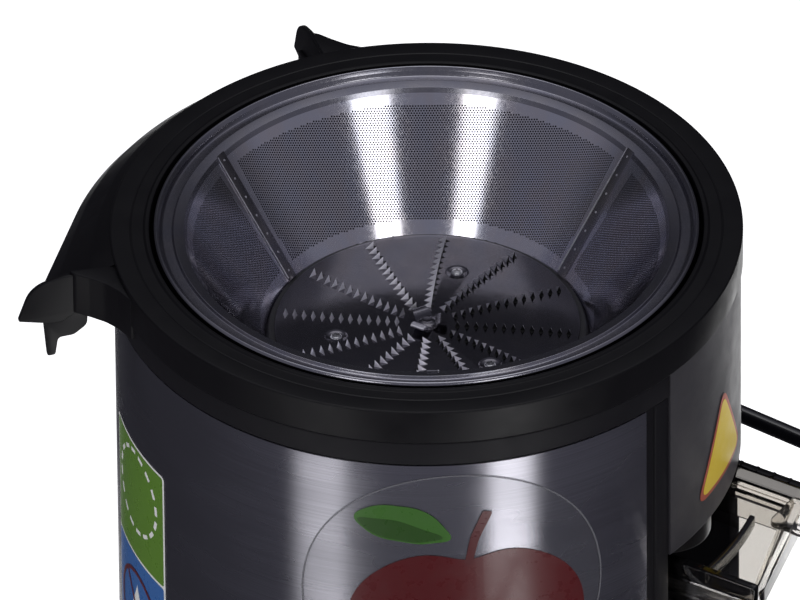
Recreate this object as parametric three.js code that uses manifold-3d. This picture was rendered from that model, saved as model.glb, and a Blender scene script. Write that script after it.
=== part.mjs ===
// A centrifugal juicer in millimetres, +Z up, standing on Z = 0.
// +X points to the spout and the jug, -X to the pulp wing, -Y to the knob.
// Every piece is modelled about the spin axis; the whole is then moved so that
// the middle of its bounding box stands over the origin.
import * as THREE from "three";
import { mergeVertices } from "three/addons/utils/BufferGeometryUtils.js";
import Module from "manifold-3d";

// ---- Driving dimensions ----
const GAP = 0.3; // clearance between neighbouring pieces
const WALL = 2.5; // moulded plastic wall
const RING_Z = 190; // top of the collector's flange
const FLANGE_R = 83;
const BOWL_R = 72.7; // inside of the collector's bowl
const DRUM_R = 82;
const TRIM_Z = [172.5, 179.5]; // trim band under the flange
const DECK_Z = [121, 123.5]; // deck that closes the motor space
const FLOOR_Z = 126; // underside of the bowl
const HOUSING_Z0 = 8.8;
const PANEL_ANGLES = [-165.8, -14.2]; // brushed steel front panel, degrees about the spin axis
const PANEL_Z = [14, 172];
const SKIRT_ANGLES = [-8, 28.8]; // the collector's skirt over the jug recess
const SKIRT_R = [80, 82.5];
const RECESS_Y = [-11.5, 39.7];
const RECESS_X = 43;
const WING_R = 95.5; // outer edge of the pulp wing
const WING_Z = 176.5;
const WING_ANGLES = [140.5, 222];
const WING_TANGENT = 197; // past this angle the wing's edge runs straight on
const WING_ROOT = 81.5; // where the wing leaves the flange
const SPOUT = [69.5, 6];
const SPOUT_R = [10, 12];
const SPOUT_Z = 114.5;
const DISC_R = 40.2;
const DISC_Z = 158; // top face of the grater disc
const TOOTH_ROWS = 12;
const TEETH_PER_ROW = 13;
const TOOTH_PITCH = 2.46;
const TOOTH_R0 = 8;
const RIVET_R = 24.5;
const RIVET_ANGLES = [103, 224, 344];
const CONE_TOP = [64.1, 189.6];
const CONE_BOTTOM = [41.5, 157];
const SHAFT_R = 4;
const STATOR_Z = [50, 82];
const BOLT_R = 30.5; // through bolts, from the spin axis
const BUSH_R = 36; // rubber bushes, from the spin axis
const BUSH_ANGLES = [90, 210, 330];
const STATOR_BORE = 17.7;
const BEARING_HEIGHT = 7;
const THROUGH_HOLE = 2.3; // holes in the brackets and the core for the through bolts
const FOOT_R = 62;
const FOOT_ANGLES = [55, 125, 235, 305];
const BASE_SCREW_R = 75.5;
const BASE_SCREW_ANGLES = [90, 200, 320];
const KNOB_Z = 52;
const KNOB_R = 22;
const BEZEL_R = 25.5;
const SWITCH_Y = [-76, -60];
const GLAND_X = -22;
const GLAND_Z = 24;
const PIVOT_Z = 93;
const ARM_Y = 88; // plane of each bail arm
const BAIL_REACH = 135;
const BAIL_DROOP = 4; // degrees below level at rest
const ROD_R = 2.4;
const BEND = 14; // bend radius of the bail's two corners
const JUG_X = 45;
const JUG_FRONT_X = 106.5; // outer end of the jug at its front corner
const JUG_REAR_X = 94.5; // outer end at its rear corner
const JUG_Y = [-9.7, 37.7];
const JUG_TOP = 107.5;
const LID_TOP = 118;
const FRONT_DEPTH = 101; // knob face, from the spin axis
const SIDE_DEPTH = 92; // bail pin heads, from the spin axis

// ---- Fineness of round shapes ----
const BIG = 48;
const MEDIUM = 26;
const SMALL = 12;

const rad = THREE.MathUtils.degToRad;
const wasm = await Module();
wasm.setup();

// ---- Solids ----
// A manifold solid from a closed three.js geometry.
function solid(geometry) {
  const bare = geometry.index ? geometry.toNonIndexed() : geometry.clone();
  bare.deleteAttribute("normal");
  bare.deleteAttribute("uv");
  const merged = mergeVertices(bare, 1e-4);
  const index = merged.index.array;
  const faces = [];
  for (let i = 0; i < index.length; i += 3) {
    const [a, b, c] = index.slice(i, i + 3);
    if (a !== b && b !== c && c !== a) faces.push(a, b, c);
  }
  const mesh = new wasm.Mesh({
    numProp: 3,
    vertProperties: merged.attributes.position.array,
    triVerts: new Uint32Array(faces),
  });
  return new wasm.Manifold(mesh);
}

// The geometry of a manifold solid.
function geometryOf(body) {
  const mesh = body.getMesh();
  const geometry = new THREE.BufferGeometry();
  geometry.setAttribute("position", new THREE.BufferAttribute(new Float32Array(mesh.vertProperties), 3));
  geometry.setIndex(new THREE.BufferAttribute(new Uint32Array(mesh.triVerts), 1));
  return geometry;
}

// A profile of [radius, height] pairs, counter-clockwise, turned about Z.
function lathe(profile, segments = MEDIUM) {
  const points = [...profile, profile[0]].map(([r, z]) => new THREE.Vector2(r, z));
  return solid(new THREE.LatheGeometry(points, segments).rotateX(Math.PI / 2));
}

function cylinder(radius, z0, z1, segments = MEDIUM) {
  const geometry = new THREE.CylinderGeometry(radius, radius, z1 - z0, segments);
  return solid(geometry.rotateX(Math.PI / 2).translate(0, 0, (z0 + z1) / 2));
}

function ring(inner, outer, z0, z1, segments = MEDIUM) {
  return lathe([[inner, z0], [outer, z0], [outer, z1], [inner, z1]], segments);
}

function box([x0, x1], [y0, y1], [z0, z1]) {
  const geometry = new THREE.BoxGeometry(x1 - x0, y1 - y0, z1 - z0);
  return solid(geometry.translate((x0 + x1) / 2, (y0 + y1) / 2, (z0 + z1) / 2));
}

function extrude(shape, z0, z1, curveSegments = 6) {
  const options = { depth: z1 - z0, bevelEnabled: false, curveSegments };
  return solid(new THREE.ExtrudeGeometry(shape, options).translate(0, 0, z0));
}

// Part of a ring between two angles in degrees.
function sector([r0, r1], [a0, a1], [z0, z1], segments = BIG) {
  const shape = new THREE.Shape();
  shape.absarc(0, 0, r1, rad(a0), rad(a1), false);
  shape.absarc(0, 0, r0, rad(a1), rad(a0), true);
  const halfSteps = Math.max(2, Math.round(((a1 - a0) / 720) * segments)); // an arc gets twice as many
  return extrude(shape, z0, z1, halfSteps);
}

// A tube along a curve.
function tube(curve, radius, steps, sides = 8) {
  const section = new THREE.Shape();
  section.absarc(0, 0, radius, 0, 2 * Math.PI, false);
  const options = { steps, extrudePath: curve, bevelEnabled: false, curveSegments: sides / 2 };
  return solid(new THREE.ExtrudeGeometry(section, options));
}

// A closed outline whose corners are rounded to one radius.
function rounded(corners, radius) {
  const shape = new THREE.Shape();
  corners.forEach((corner, i) => {
    const here = new THREE.Vector2(...corner);
    const before = new THREE.Vector2(...corners[(i + corners.length - 1) % corners.length]);
    const after = new THREE.Vector2(...corners[(i + 1) % corners.length]);
    const start = before.sub(here).setLength(radius).add(here);
    const end = after.sub(here).setLength(radius).add(here);
    if (i === 0) shape.moveTo(start.x, start.y);
    else shape.lineTo(start.x, start.y);
    shape.quadraticCurveTo(here.x, here.y, end.x, end.y);
  });
  shape.closePath();
  return shape;
}

const polar = (radius, degrees) => [radius * Math.cos(rad(degrees)), radius * Math.sin(rad(degrees))];
const at = (body, radius, degrees, z = 0) => body.translate([...polar(radius, degrees), z]);
const union = (...bodies) => bodies.reduce((a, b) => a.add(b));
const less = (body, ...cuts) => cuts.reduce((a, b) => a.subtract(b), body);
const alongY = (body, side) => body.rotate([side < 0 ? 90 : -90, 0, 0]);

// ---- The assembly ----
const juicer = new THREE.Group();
const paints = {
  satin_black: [0x1c1b1e, 0.5, 0],
  gloss_black: [0x101012, 0.15, 0],
  steel: [0x8f9096, 0.28, 1],
  dark_steel: [0x55555c, 0.2, 1],
  rubber: [0x1a1a1a, 0.9, 0],
  clear: [0xcfcbc4, 0.08, 0],
  copper: [0xb4693a, 0.4, 0.8],
  brass: [0xb89a4a, 0.35, 0.9],
  carbon: [0x2b2b2d, 0.7, 0.1],
  white_nylon: [0xe4e2dc, 0.5, 0],
  label: [0xd7be2d, 0.4, 0],
};

function add(name, body, paint) {
  const [color, roughness, metalness] = paints[paint];
  const material = new THREE.MeshStandardMaterial({ color, roughness, metalness });
  const mesh = new THREE.Mesh(geometryOf(body), material);
  mesh.name = name;
  juicer.add(mesh);
}

// ---- Housing ----
const recessCut = box([RECESS_X, DRUM_R + 5], RECESS_Y, [-1, DECK_Z[0]]);
const recessWalls = box([RECESS_X - WALL, DRUM_R - 1], [RECESS_Y[0] - WALL, RECESS_Y[1] + WALL],
  [0, DECK_Z[0] + 1]);

// The raised pad around each bail pin, with the lug that the resting arm lies on.
function pivotPad(side, extra) {
  const disc = alongY(cylinder(8 + extra, 76, 85.2 + extra, 20), side).translate([0, 0, PIVOT_Z]);
  const y = side < 0 ? [-90.4, -77] : [77, 90.4];
  const lug = box([9 - extra, 15 + extra], y, [PIVOT_Z - 9.5 - extra, PIVOT_Z - 3.6 + extra]);
  return union(disc, lug);
}

function motorHousing() {
  const shell = ring(DRUM_R - WALL, DRUM_R, HOUSING_Z0, TRIM_Z[0] - GAP, BIG);
  const deck = cylinder(DRUM_R - 1, DECK_Z[0], DECK_Z[1], BIG);
  const inside = cylinder(DRUM_R - 1, HOUSING_Z0, DECK_Z[1], BIG);
  const walls = recessWalls.intersect(inside);
  let body = union(shell, deck, walls);
  for (const angle of BASE_SCREW_ANGLES) {
    const post = at(cylinder(5, HOUSING_Z0, 30, SMALL), BASE_SCREW_R, angle);
    body = body.add(post.intersect(inside));
  }
  const panelCut = sector([DRUM_R - 0.8, DRUM_R + 2], [PANEL_ANGLES[0] - 0.3, PANEL_ANGLES[1] + 0.3],
    [PANEL_Z[0] - GAP, TRIM_Z[0] + 1]);
  const skirtCut = sector([DRUM_R - WALL - GAP, DRUM_R + 2], [SKIRT_ANGLES[0] - 0.3, SKIRT_ANGLES[1] + 0.3],
    [DECK_Z[0] - 1, TRIM_Z[0] + 1]);
  body = less(body, panelCut, skirtCut, recessCut);
  body = union(body, pivotPad(-1, 0), pivotPad(1, 0));
  const spoutHole = cylinder(SPOUT_R[1] + 0.8, DECK_Z[0] - 1, DECK_Z[1] + 1).translate([...SPOUT, 0]);
  const shaftHole = cylinder(9, DECK_Z[0] - 1, DECK_Z[1] + 1);
  body = less(body, spoutHole, shaftHole);
  for (const angle of BUSH_ANGLES) {
    body = body.subtract(at(cylinder(2.1, DECK_Z[0] - 1, DECK_Z[1] + 1, SMALL), BUSH_R, angle));
  }
  for (const angle of BASE_SCREW_ANGLES) {
    body = body.subtract(at(cylinder(1.8, 0, 22, SMALL), BASE_SCREW_R, angle));
  }
  for (const side of [-1, 1]) {
    body = body.subtract(alongY(cylinder(3.2, 70, 95, 20), side).translate([0, 0, PIVOT_Z]));
  }
  body = body.subtract(alongY(cylinder(4.3, 70, 95, 20), -1).translate([0, 0, KNOB_Z]));
  return body.subtract(alongY(cylinder(6.6, 70, 95, 20), 1).translate([GLAND_X, 0, GLAND_Z]));
}

add("motor_housing", motorHousing(), "satin_black");

const trimGap = sector([70, 90], [SKIRT_ANGLES[0] - 0.4, SKIRT_ANGLES[1] + 0.4],
  [TRIM_Z[0] - 1, TRIM_Z[1] + 1]);
add("housing_trim", less(ring(DRUM_R - 3, DRUM_R + 0.3, ...TRIM_Z, BIG), trimGap), "satin_black");

function frontPanel() {
  const sheet = sector([DRUM_R - 0.5, DRUM_R + 0.1], PANEL_ANGLES, PANEL_Z);
  const bezelHole = alongY(cylinder(BEZEL_R + GAP, 70, 95), -1).translate([0, 0, KNOB_Z]);
  return less(sheet, bezelHole, pivotPad(-1, GAP + 0.1));
}
add("steel_front_panel", frontPanel(), "steel");

function basePlate() {
  let body = less(cylinder(DRUM_R - 1.5, 6, 8.5, BIG), recessCut);
  for (const angle of BASE_SCREW_ANGLES) {
    body = body.subtract(at(cylinder(2.3, 5, 9, SMALL), BASE_SCREW_R, angle));
  }
  for (let i = -3; i <= 3; i += 1) {
    body = body.subtract(box([-20, 20], [i * 8 - 1.5, i * 8 + 1.5], [5, 9]));
  }
  return body;
}
add("base_plate", basePlate(), "satin_black");

FOOT_ANGLES.forEach((angle, i) => {
  const foot = lathe([[0, 0], [7, 0], [8, 1], [8, 5.7], [0, 5.7]], 14);
  add(`foot_${i + 1}`, at(foot, FOOT_R, angle), "rubber");
});

BASE_SCREW_ANGLES.forEach((angle, i) => {
  const screw = lathe([[0, 3.6], [2.6, 3.6], [3.6, 4.4], [3.6, 5.7], [1.5, 5.7], [1.5, 20], [0, 21]], SMALL);
  add(`base_screw_${i + 1}`, at(screw, BASE_SCREW_R, angle), "steel");
});

// ---- Juice collector ----
// A fin stands on its own radius. Its outline is [radius, height below the ring top].
function fin(angle) {
  const shape = new THREE.Shape();
  const down = (depth) => RING_Z - depth;
  shape.moveTo(82.9, down(17.3));
  shape.lineTo(82.9, TRIM_Z[1] + GAP);
  shape.lineTo(81, TRIM_Z[1] + GAP);
  shape.lineTo(81, down(8));
  shape.quadraticCurveTo(87, down(1.6), 95, down(2.7));
  shape.quadraticCurveTo(105, down(4.2), 109, down(15.6));
  shape.lineTo(102.2, down(17));
  shape.lineTo(101.2, down(28.4));
  shape.lineTo(99, down(28.2));
  shape.lineTo(98.2, down(22.8));
  shape.lineTo(94, down(22.4));
  shape.quadraticCurveTo(90.4, down(21), 90.2, down(14.6));
  shape.quadraticCurveTo(86.5, down(14), 84.4, down(17.3));
  shape.closePath();
  const plate = extrude(shape, -1.3, 1.3, 5);
  return plate.rotate([90, 0, 0]).rotate([0, 0, angle]);
}

// The hollow-faced web that carries a fin back to the flange, on the side away from the wing.
function finWeb(angle, side) {
  const plan = new THREE.Shape();
  const spot = (radius, away) => plan.lineTo(...polar(radius, angle + side * away));
  plan.moveTo(...polar(81.2, angle));
  const hollow = [[95, 0], [94, 1.1], [90.5, 2.8], [87, 5], [84.7, 7.6], [83, 11], [81.2, 11]];
  hollow.forEach(([radius, away]) => spot(radius, away));
  plan.closePath();
  const clearOfTrim = cylinder(FLANGE_R - 0.1, TRIM_Z[0], TRIM_Z[1] + GAP, BIG * 2);
  return extrude(plan, RING_Z - 14.3, RING_Z - 1.6).subtract(clearOfTrim);
}

function pulpWing() {
  const profile = [[WING_ROOT, RING_Z - 3.5], [WING_R - 1.6, WING_Z - 2.2], [WING_R, WING_Z - 2.2],
    [WING_R, WING_Z], [92, 180.6], [86, 186.6], [WING_ROOT, RING_Z - 0.6]];
  const round = lathe(profile, BIG).intersect(sector([60, 120], WING_ANGLES, [160, 200], BIG * 2));
  return round.warp((spot) => {
    const past = Math.atan2(-spot[1], -spot[0]) + Math.PI - rad(WING_TANGENT);
    const radius = Math.hypot(spot[0], spot[1]);
    const share = Math.max(0, (radius - WING_ROOT) / (WING_R - WING_ROOT));
    const grown = past > 0 ? 1 + (share * WING_R * (1 / Math.cos(past) - 1)) / radius : 1;
    spot[0] *= grown;
    spot[1] *= grown;
  });
}

function juiceCollector() {
  const bowl = lathe([[12, FLOOR_Z], [BOWL_R + WALL, FLOOR_Z], [BOWL_R + WALL, RING_Z - WALL],
    [FLANGE_R - WALL, RING_Z - WALL], [FLANGE_R - WALL, TRIM_Z[1] + GAP], [FLANGE_R, TRIM_Z[1] + GAP],
    [FLANGE_R, RING_Z - 1.2], [81.5, RING_Z], [73.7, RING_Z], [73.4, RING_Z + 0.5], [BOWL_R, RING_Z + 0.3],
    [BOWL_R, FLOOR_Z + 5], [70, FLOOR_Z + WALL], [14.4, FLOOR_Z + WALL], [14.4, 149], [12, 149]], BIG);
  const skirt = sector(SKIRT_R, SKIRT_ANGLES, [DECK_Z[0], RING_Z - 5]);
  const rib = box([BOWL_R + 0.5, SKIRT_R[0] + 1], [SPOUT[1] - 9, SPOUT[1] + 9], [FLOOR_Z, FLOOR_Z + 10]);
  const spout = cylinder(SPOUT_R[1], SPOUT_Z, FLOOR_Z + 10, 28).translate([...SPOUT, 0]);
  const bowlInside = cylinder(BOWL_R, FLOOR_Z + WALL, RING_Z, BIG);
  const bore = cylinder(SPOUT_R[0], SPOUT_Z - 1, FLOOR_Z + 7.5, 28).translate([...SPOUT, 0]);
  const outlet = less(union(spout, rib), bowlInside);
  const [rear, front] = WING_ANGLES;
  const fins = union(fin(rear), finWeb(rear, -1), fin(front), finWeb(front, 1));
  return less(union(bowl, skirt, outlet, pulpWing(), fins), bore);
}
add("juice_collector", juiceCollector(), "satin_black");
add("shaft_seal", ring(SHAFT_R + GAP, 8.6, 120, 125.6, 20), "rubber");

// ---- Strainer basket and its drive ----
function offsetCone(thickness) {
  const [r1, z1] = CONE_TOP;
  const [r0, z0] = CONE_BOTTOM;
  return lathe([[r0, z0], [r0 + thickness, z0], [r1 + thickness, z1], [r1, z1]], BIG);
}
add("filter_cone", offsetCone(0.9), "steel");
add("basket_rim", lathe([[65.4, 188.9], [67.2, 188.1], [69.9, 188.1], [70.8, 187], [71.6, 187], [71.6, 190.6],
  [70.9, 191], [69.3, 189], [67.4, 189], [65.4, 190]], BIG), "steel");

function graterDisc() {
  let body = cylinder(DISC_R, DISC_Z - 1, DISC_Z, BIG);
  for (let row = 0; row < TOOTH_ROWS; row += 1) {
    for (let i = 0; i < TEETH_PER_ROW; i += 1) {
      const radius = TOOTH_R0 + i * TOOTH_PITCH;
      const tooth = solid(new THREE.ConeGeometry(0.85, 2.3, 3).rotateX(Math.PI / 2));
      const angle = row * (360 / TOOTH_ROWS) + 58 - 0.25 * i;
      body = body.add(at(tooth, radius, angle, DISC_Z + 1));
    }
  }
  for (let lobe = 0; lobe < 3; lobe += 1) {
    const raised = cylinder(2.2, DISC_Z - 0.5, DISC_Z + 1.8, 10);
    body = body.add(at(raised, 3.4, 30 + lobe * 120));
  }
  for (const angle of RIVET_ANGLES) {
    body = body.subtract(at(cylinder(1.4, DISC_Z - 2, DISC_Z + 2, 12), RIVET_R, angle));
  }
  return body;
}
add("grater_disc", graterDisc(), "dark_steel");

function basketBase() {
  let body = lathe([[0, 153.2], [9.8, 153.2], [9.8, 134], [11.3, 134], [11.3, 152], [14, 153], [43, 153],
    [43, DISC_Z - 1.3], [0, DISC_Z - 1.3]], BIG);
  for (const angle of RIVET_ANGLES) {
    body = body.subtract(at(cylinder(1.4, 150, 160, 12), RIVET_R, angle));
  }
  return body;
}
add("basket_base", basketBase(), "dark_steel");

RIVET_ANGLES.forEach((angle, i) => {
  const rivet = lathe([[0, 151.4], [2.2, 151.4], [2.2, 152.7], [1.1, 152.7], [1.1, DISC_Z + GAP],
    [2.6, DISC_Z + GAP],
    [2, DISC_Z + 1.2], [0, DISC_Z + 1.2]], 12);
  add(`disc_rivet_${i + 1}`, at(rivet, RIVET_R, angle), "steel");
});

function driveCoupling() {
  let body = ring(SHAFT_R + GAP, 8.4, 130, 149, 24);
  for (let lobe = 0; lobe < 3; lobe += 1) {
    body = body.add(at(cylinder(2.2, 134.5, 149, 10), 7.2, lobe * 120));
  }
  return body;
}
add("drive_coupling", driveCoupling(), "white_nylon");
add("motor_shaft", lathe([[0, 18], [3.4, 18], [SHAFT_R, 18.8], [SHAFT_R, 151], [0, 151]], 20), "steel");

// ---- Motor ----
function fieldCoil(middle) {
  return sector([20, 27], [middle - 50, middle + 50], [STATOR_Z[0] - 4, STATOR_Z[1] + 4], MEDIUM);
}

function statorCore() {
  let body = ring(STATOR_BORE, 34, ...STATOR_Z);
  for (const middle of [90, 270]) {
    const arc = [middle - 52, middle + 52];
    body = body.subtract(sector([19.6, 27.4], arc, [STATOR_Z[0] - 1, STATOR_Z[1] + 1], MEDIUM));
  }
  for (const x of [-BOLT_R, BOLT_R]) {
    body = body.subtract(cylinder(THROUGH_HOLE, STATOR_Z[0] - 1, STATOR_Z[1] + 1, 12).translate([x, 0, 0]));
  }
  return body;
}
add("stator_core", statorCore(), "dark_steel");
add("field_coil_1", fieldCoil(90), "copper");
add("field_coil_2", fieldCoil(270), "copper");
add("rotor_core", lathe([[SHAFT_R + GAP, 47], [13, 47], [13, 50], [17, 50], [17, 82], [13, 82], [12, 86.5],
  [SHAFT_R + GAP, 86.5]]), "copper");
add("commutator", ring(SHAFT_R + GAP, 10.5, 32, 46, 24), "copper");

function coolingFan() {
  let body = union(ring(SHAFT_R + GAP, 8, 88, 98, 24), ring(SHAFT_R + GAP, 27, 96.5, 98));
  for (let blade = 0; blade < 6; blade += 1) {
    body = body.add(box([7, 26], [-0.7, 0.7], [89, 97]).rotate([0, 0, blade * 60]));
  }
  return body;
}
add("cooling_fan", coolingFan(), "white_nylon");

function motorBearing(z0) {
  return ring(SHAFT_R + GAP, 11, z0, z0 + BEARING_HEIGHT, 18);
}
add("lower_bearing", motorBearing(22.3), "steel");
add("upper_bearing", motorBearing(102.5), "steel");

function lowerBracket() {
  let body = lathe([[5.2, 17], [36, 17], [36, 21], [14, 21], [14, 29.5], [11.3, 29.5], [11.3, 22],
    [5.2, 22]]);
  for (const x of [-BOLT_R, BOLT_R]) {
    body = body.subtract(cylinder(THROUGH_HOLE, 16, 30, 12).translate([x, 0, 0]));
  }
  for (const angle of [45, 135, 225, 315]) {
    body = body.subtract(at(cylinder(6, 16, 30, SMALL), 25, angle));
  }
  return body;
}
add("lower_motor_bracket", lowerBracket(), "satin_black");

function upperBracket() {
  let body = lathe([[5.2, 109.8], [11.3, 109.8], [11.3, 102], [14, 102], [14, 110.3], [39.5, 110.3],
    [39.5, 114.3], [5.2, 114.3]]);
  for (const x of [-BOLT_R, BOLT_R]) {
    body = body.subtract(cylinder(THROUGH_HOLE, 100, 116, 12).translate([x, 0, 0]));
  }
  for (const angle of BUSH_ANGLES) {
    body = body.subtract(at(cylinder(2.1, 100, 116, 12), BUSH_R, angle));
  }
  for (const angle of [30, 150, 270]) {
    body = body.subtract(at(cylinder(6, 100, 116, SMALL), 23, angle));
  }
  return body;
}
add("upper_motor_bracket", upperBracket(), "satin_black");

[-BOLT_R, BOLT_R].forEach((x, i) => {
  const bolt = lathe([[0, 13.4], [3.6, 13.4], [3.6, 16.7], [2, 16.7], [2, 116.5], [0, 117]], 12);
  add(`motor_bolt_${i + 1}`, bolt.translate([x, 0, 0]), "steel");
});

BUSH_ANGLES.forEach((angle, i) => {
  add(`rubber_bush_${i + 1}`, at(ring(2.1, 5.5, 114.6, 120.7, SMALL), BUSH_R, angle), "rubber");
  const screw = lathe([[0, 107.4], [3.4, 107.4], [3.4, 110], [1.7, 110], [1.7, 123.2], [0, 123.2]], 12);
  add(`mounting_screw_${i + 1}`, at(screw, BUSH_R, angle), "steel");
});

[-1, 1].forEach((side, i) => {
  const holder = less(box([-6, 6], [14, 35], [21.3, 44]), box([-3.8, 3.8], [13, 31], [34.2, 41.8]),
    box([-3, 3], [13, 30], [20, 31]));
  const brush = box([-3.4, 3.4], [10.9, 26], [34.6, 41.4]);
  const turn = side < 0 ? 180 : 0;
  add(`brush_holder_${i + 1}`, holder.rotate([0, 0, turn]), "brass");
  add(`carbon_brush_${i + 1}`, brush.rotate([0, 0, turn]), "carbon");
});

// ---- Controls and wiring ----
add("speed_switch", less(box([-12, 12], SWITCH_Y, [KNOB_Z - 13, KNOB_Z + 13]),
  alongY(cylinder(3.9, 62, 80, 20), -1).translate([0, 0, KNOB_Z])), "white_nylon");
add("interlock_switch", box([-9, 9], [62, 74], [PIVOT_Z + 6, PIVOT_Z + 18]), "satin_black");
add("suppression_capacitor", box([-66, -56], [-13, 13], [20, 40]), "label");

function dialBezel() {
  const disc = alongY(lathe([[4.3, 60], [BEZEL_R, 60], [BEZEL_R, 84.6], [BEZEL_R - 1.2, 85.6], [23.4, 85.6],
    [23, 83.2], [4.3, 83.2]]), -1).translate([0, 0, KNOB_Z]);
  return less(disc, cylinder(DRUM_R - 0.4, 0, 120, BIG * 2));
}
add("dial_bezel", dialBezel(), "gloss_black");

function speedKnob() {
  const turned = lathe([[0, 63], [3.6, 63], [3.6, 83.5], [KNOB_R, 83.5], [KNOB_R, 90], [20, 92], [0, 92]]);
  const grip = extrude(rounded([[-4.5, -19], [4.5, -19], [4.5, 19], [-4.5, 19]], 3.5), 90, FRONT_DEPTH, 4);
  return alongY(union(turned, grip), -1).translate([0, 0, KNOB_Z]);
}
add("speed_knob", speedKnob(), "satin_black");

const gland = lathe([[3.8, 74], [6, 74], [6, 80.2], [9, 81.6], [9, 83], [7, 85.5], [3.8, 85.5]], 20);
const glandBore = alongY(cylinder(6.1, 70, 90, 20), 1).translate([GLAND_X, 0, GLAND_Z]);
add("cord_gland", less(alongY(gland, 1).translate([GLAND_X, 0, GLAND_Z]),
  cylinder(79.2, 10, 40, BIG).subtract(glandBore)), "rubber");

function supplyWires() {
  const points = [[GLAND_X, 72, GLAND_Z], [-46, 52, 24], [-50, 36, 25], [-51, 18, 25], [-51, 0, 25],
    [-50, -18, 25], [-42, -40, 26], [-24, -53, 36], [-8, -56.5, 46]];
  const curve = new THREE.CatmullRomCurve3(points.map((p) => new THREE.Vector3(...p)));
  return tube(curve, 2.6, 14, 8);
}
add("supply_wires", supplyWires(), "rubber");

// ---- Locking bail ----
function bailRod() {
  const straight = (from, to) => tube(new THREE.LineCurve3(from, to), ROD_R, 1);
  const spot = (x, y) => new THREE.Vector3(x, y, 0);
  const far = BAIL_REACH - BEND;
  const overlap = 0.2;
  let body = straight(spot(BAIL_REACH, BEND - ARM_Y - overlap), spot(BAIL_REACH, ARM_Y - BEND + overlap));
  for (const y of [-ARM_Y, ARM_Y]) {
    const inward = y - Math.sign(y) * BEND;
    const corner = new THREE.QuadraticBezierCurve3(spot(far, y), spot(BAIL_REACH, y),
      spot(BAIL_REACH, inward));
    body = union(body, straight(spot(5, y), spot(far + overlap, y)), tube(corner, ROD_R, 7));
  }
  for (const side of [-1, 1]) {
    body = body.add(alongY(cylinder(6.5, 85.7, 90.3, 20), side));
  }
  for (const side of [-1, 1]) {
    body = body.subtract(alongY(cylinder(3.2, 80, 95, 20), side));
  }
  return body.rotate([0, BAIL_DROOP, 0]).translate([0, 0, PIVOT_Z]);
}
add("bail_rod", bailRod(), "gloss_black");

[-1, 1].forEach((side, i) => {
  const pin = lathe([[0, 78], [2.9, 78], [2.9, 90.6], [5.4, 90.6], [5, SIDE_DEPTH], [0, SIDE_DEPTH]], 20);
  add(`bail_pin_${i + 1}`, alongY(pin, side).translate([0, 0, PIVOT_Z]), "steel");
});

// ---- Jug and lid ----
// The jug's plan outline, drawn in by an inset.
function jugPlan(inset) {
  const corners = [[JUG_X + inset, JUG_Y[0] + inset], [JUG_FRONT_X - inset, JUG_Y[0] + inset],
    [JUG_REAR_X - inset, JUG_Y[1] - inset], [JUG_X + inset, JUG_Y[1] - inset]];
  return rounded(corners, Math.max(2, 6 - inset));
}
add("jug", less(extrude(jugPlan(0.6), 0, JUG_TOP, 5), extrude(jugPlan(2.6), 2.5, JUG_TOP + 1, 5)), "clear");

function jugLid() {
  const rim = less(extrude(jugPlan(0), JUG_TOP + GAP, LID_TOP, 5),
    extrude(jugPlan(2.8), JUG_TOP - 1, LID_TOP + 1, 5));
  const plate = extrude(jugPlan(2), 111, 113, 5);
  const tab = box([JUG_REAR_X - 3, JUG_REAR_X + 17], [22, 36], [112.4, 114.4]);
  const openEnds = box([JUG_X - 5, 130], [JUG_Y[0] + 2.8, JUG_Y[1] - 2.8], [113, LID_TOP + 1]);
  const lip = less(extrude(jugPlan(3), JUG_TOP - 5, 112, 5), extrude(jugPlan(4.6), JUG_TOP - 6, 113, 5));
  const inlet = box([SPOUT[0] - 11.5, 100], [SPOUT[1] - 11, SPOUT[1] + 13], [110, 114])
    .intersect(cylinder(88.5, 100, 120, BIG));
  const inletRim = sector([89, 91], [-4, 15], [112, 115], BIG);
  return less(union(less(rim, openEnds), plate, lip, tab, inletRim), inlet);
}
add("jug_lid", jugLid(), "clear");

// ---- Stickers ----
// A thin patch of the drum's skin, cut out by a shape that looks along a radius.
function sticker(shape, angle, z, radius) {
  const cutter = extrude(shape, radius - 30, radius + 10, 10).rotate([0, 90, 0]).rotate([0, 0, angle]);
  return ring(radius + 0.15, radius + 0.35, z - 60, z + 60, BIG * 2).intersect(cutter.translate([0, 0, z]));
}
const badge = new THREE.Shape();
badge.absarc(0, 0, 41, 0, 2 * Math.PI, false);
add("front_badge", sticker(badge, -53.5, RING_Z - 62, DRUM_R + 0.1), "clear");
const infoLabel = rounded([[-36.4, -16.6], [36.4, -16.6], [36.4, 16.6], [-36.4, 16.6]], 1.5);
add("info_label", sticker(infoLabel, -127, RING_Z - 85.4, DRUM_R + 0.1), "label");
const triangle = rounded([[13.6, -16.5], [13.6, 16.5], [-15, 0]], 3);
add("warning_label", sticker(triangle, 11.5, RING_Z - 47, SKIRT_R[1]), "label");

// ---- Place the middle of the bounding box over the origin ----
juicer.position.set(-(BAIL_REACH + ROD_R - WING_R) / 2, (FRONT_DEPTH - SIDE_DEPTH) / 2, 0);
const part = new THREE.Group();
part.add(juicer);

export default part;
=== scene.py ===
"""The looks of a centrifugal juicer with its lid off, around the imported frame.

Shapes are written in millimetres about the basket's spin axis, +X to the spout, -Y to the knob,
and are moved into the frame's metres as they are made.
"""

import math

import bmesh
import bpy
import numpy as np
from mathutils import Matrix, Vector


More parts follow.
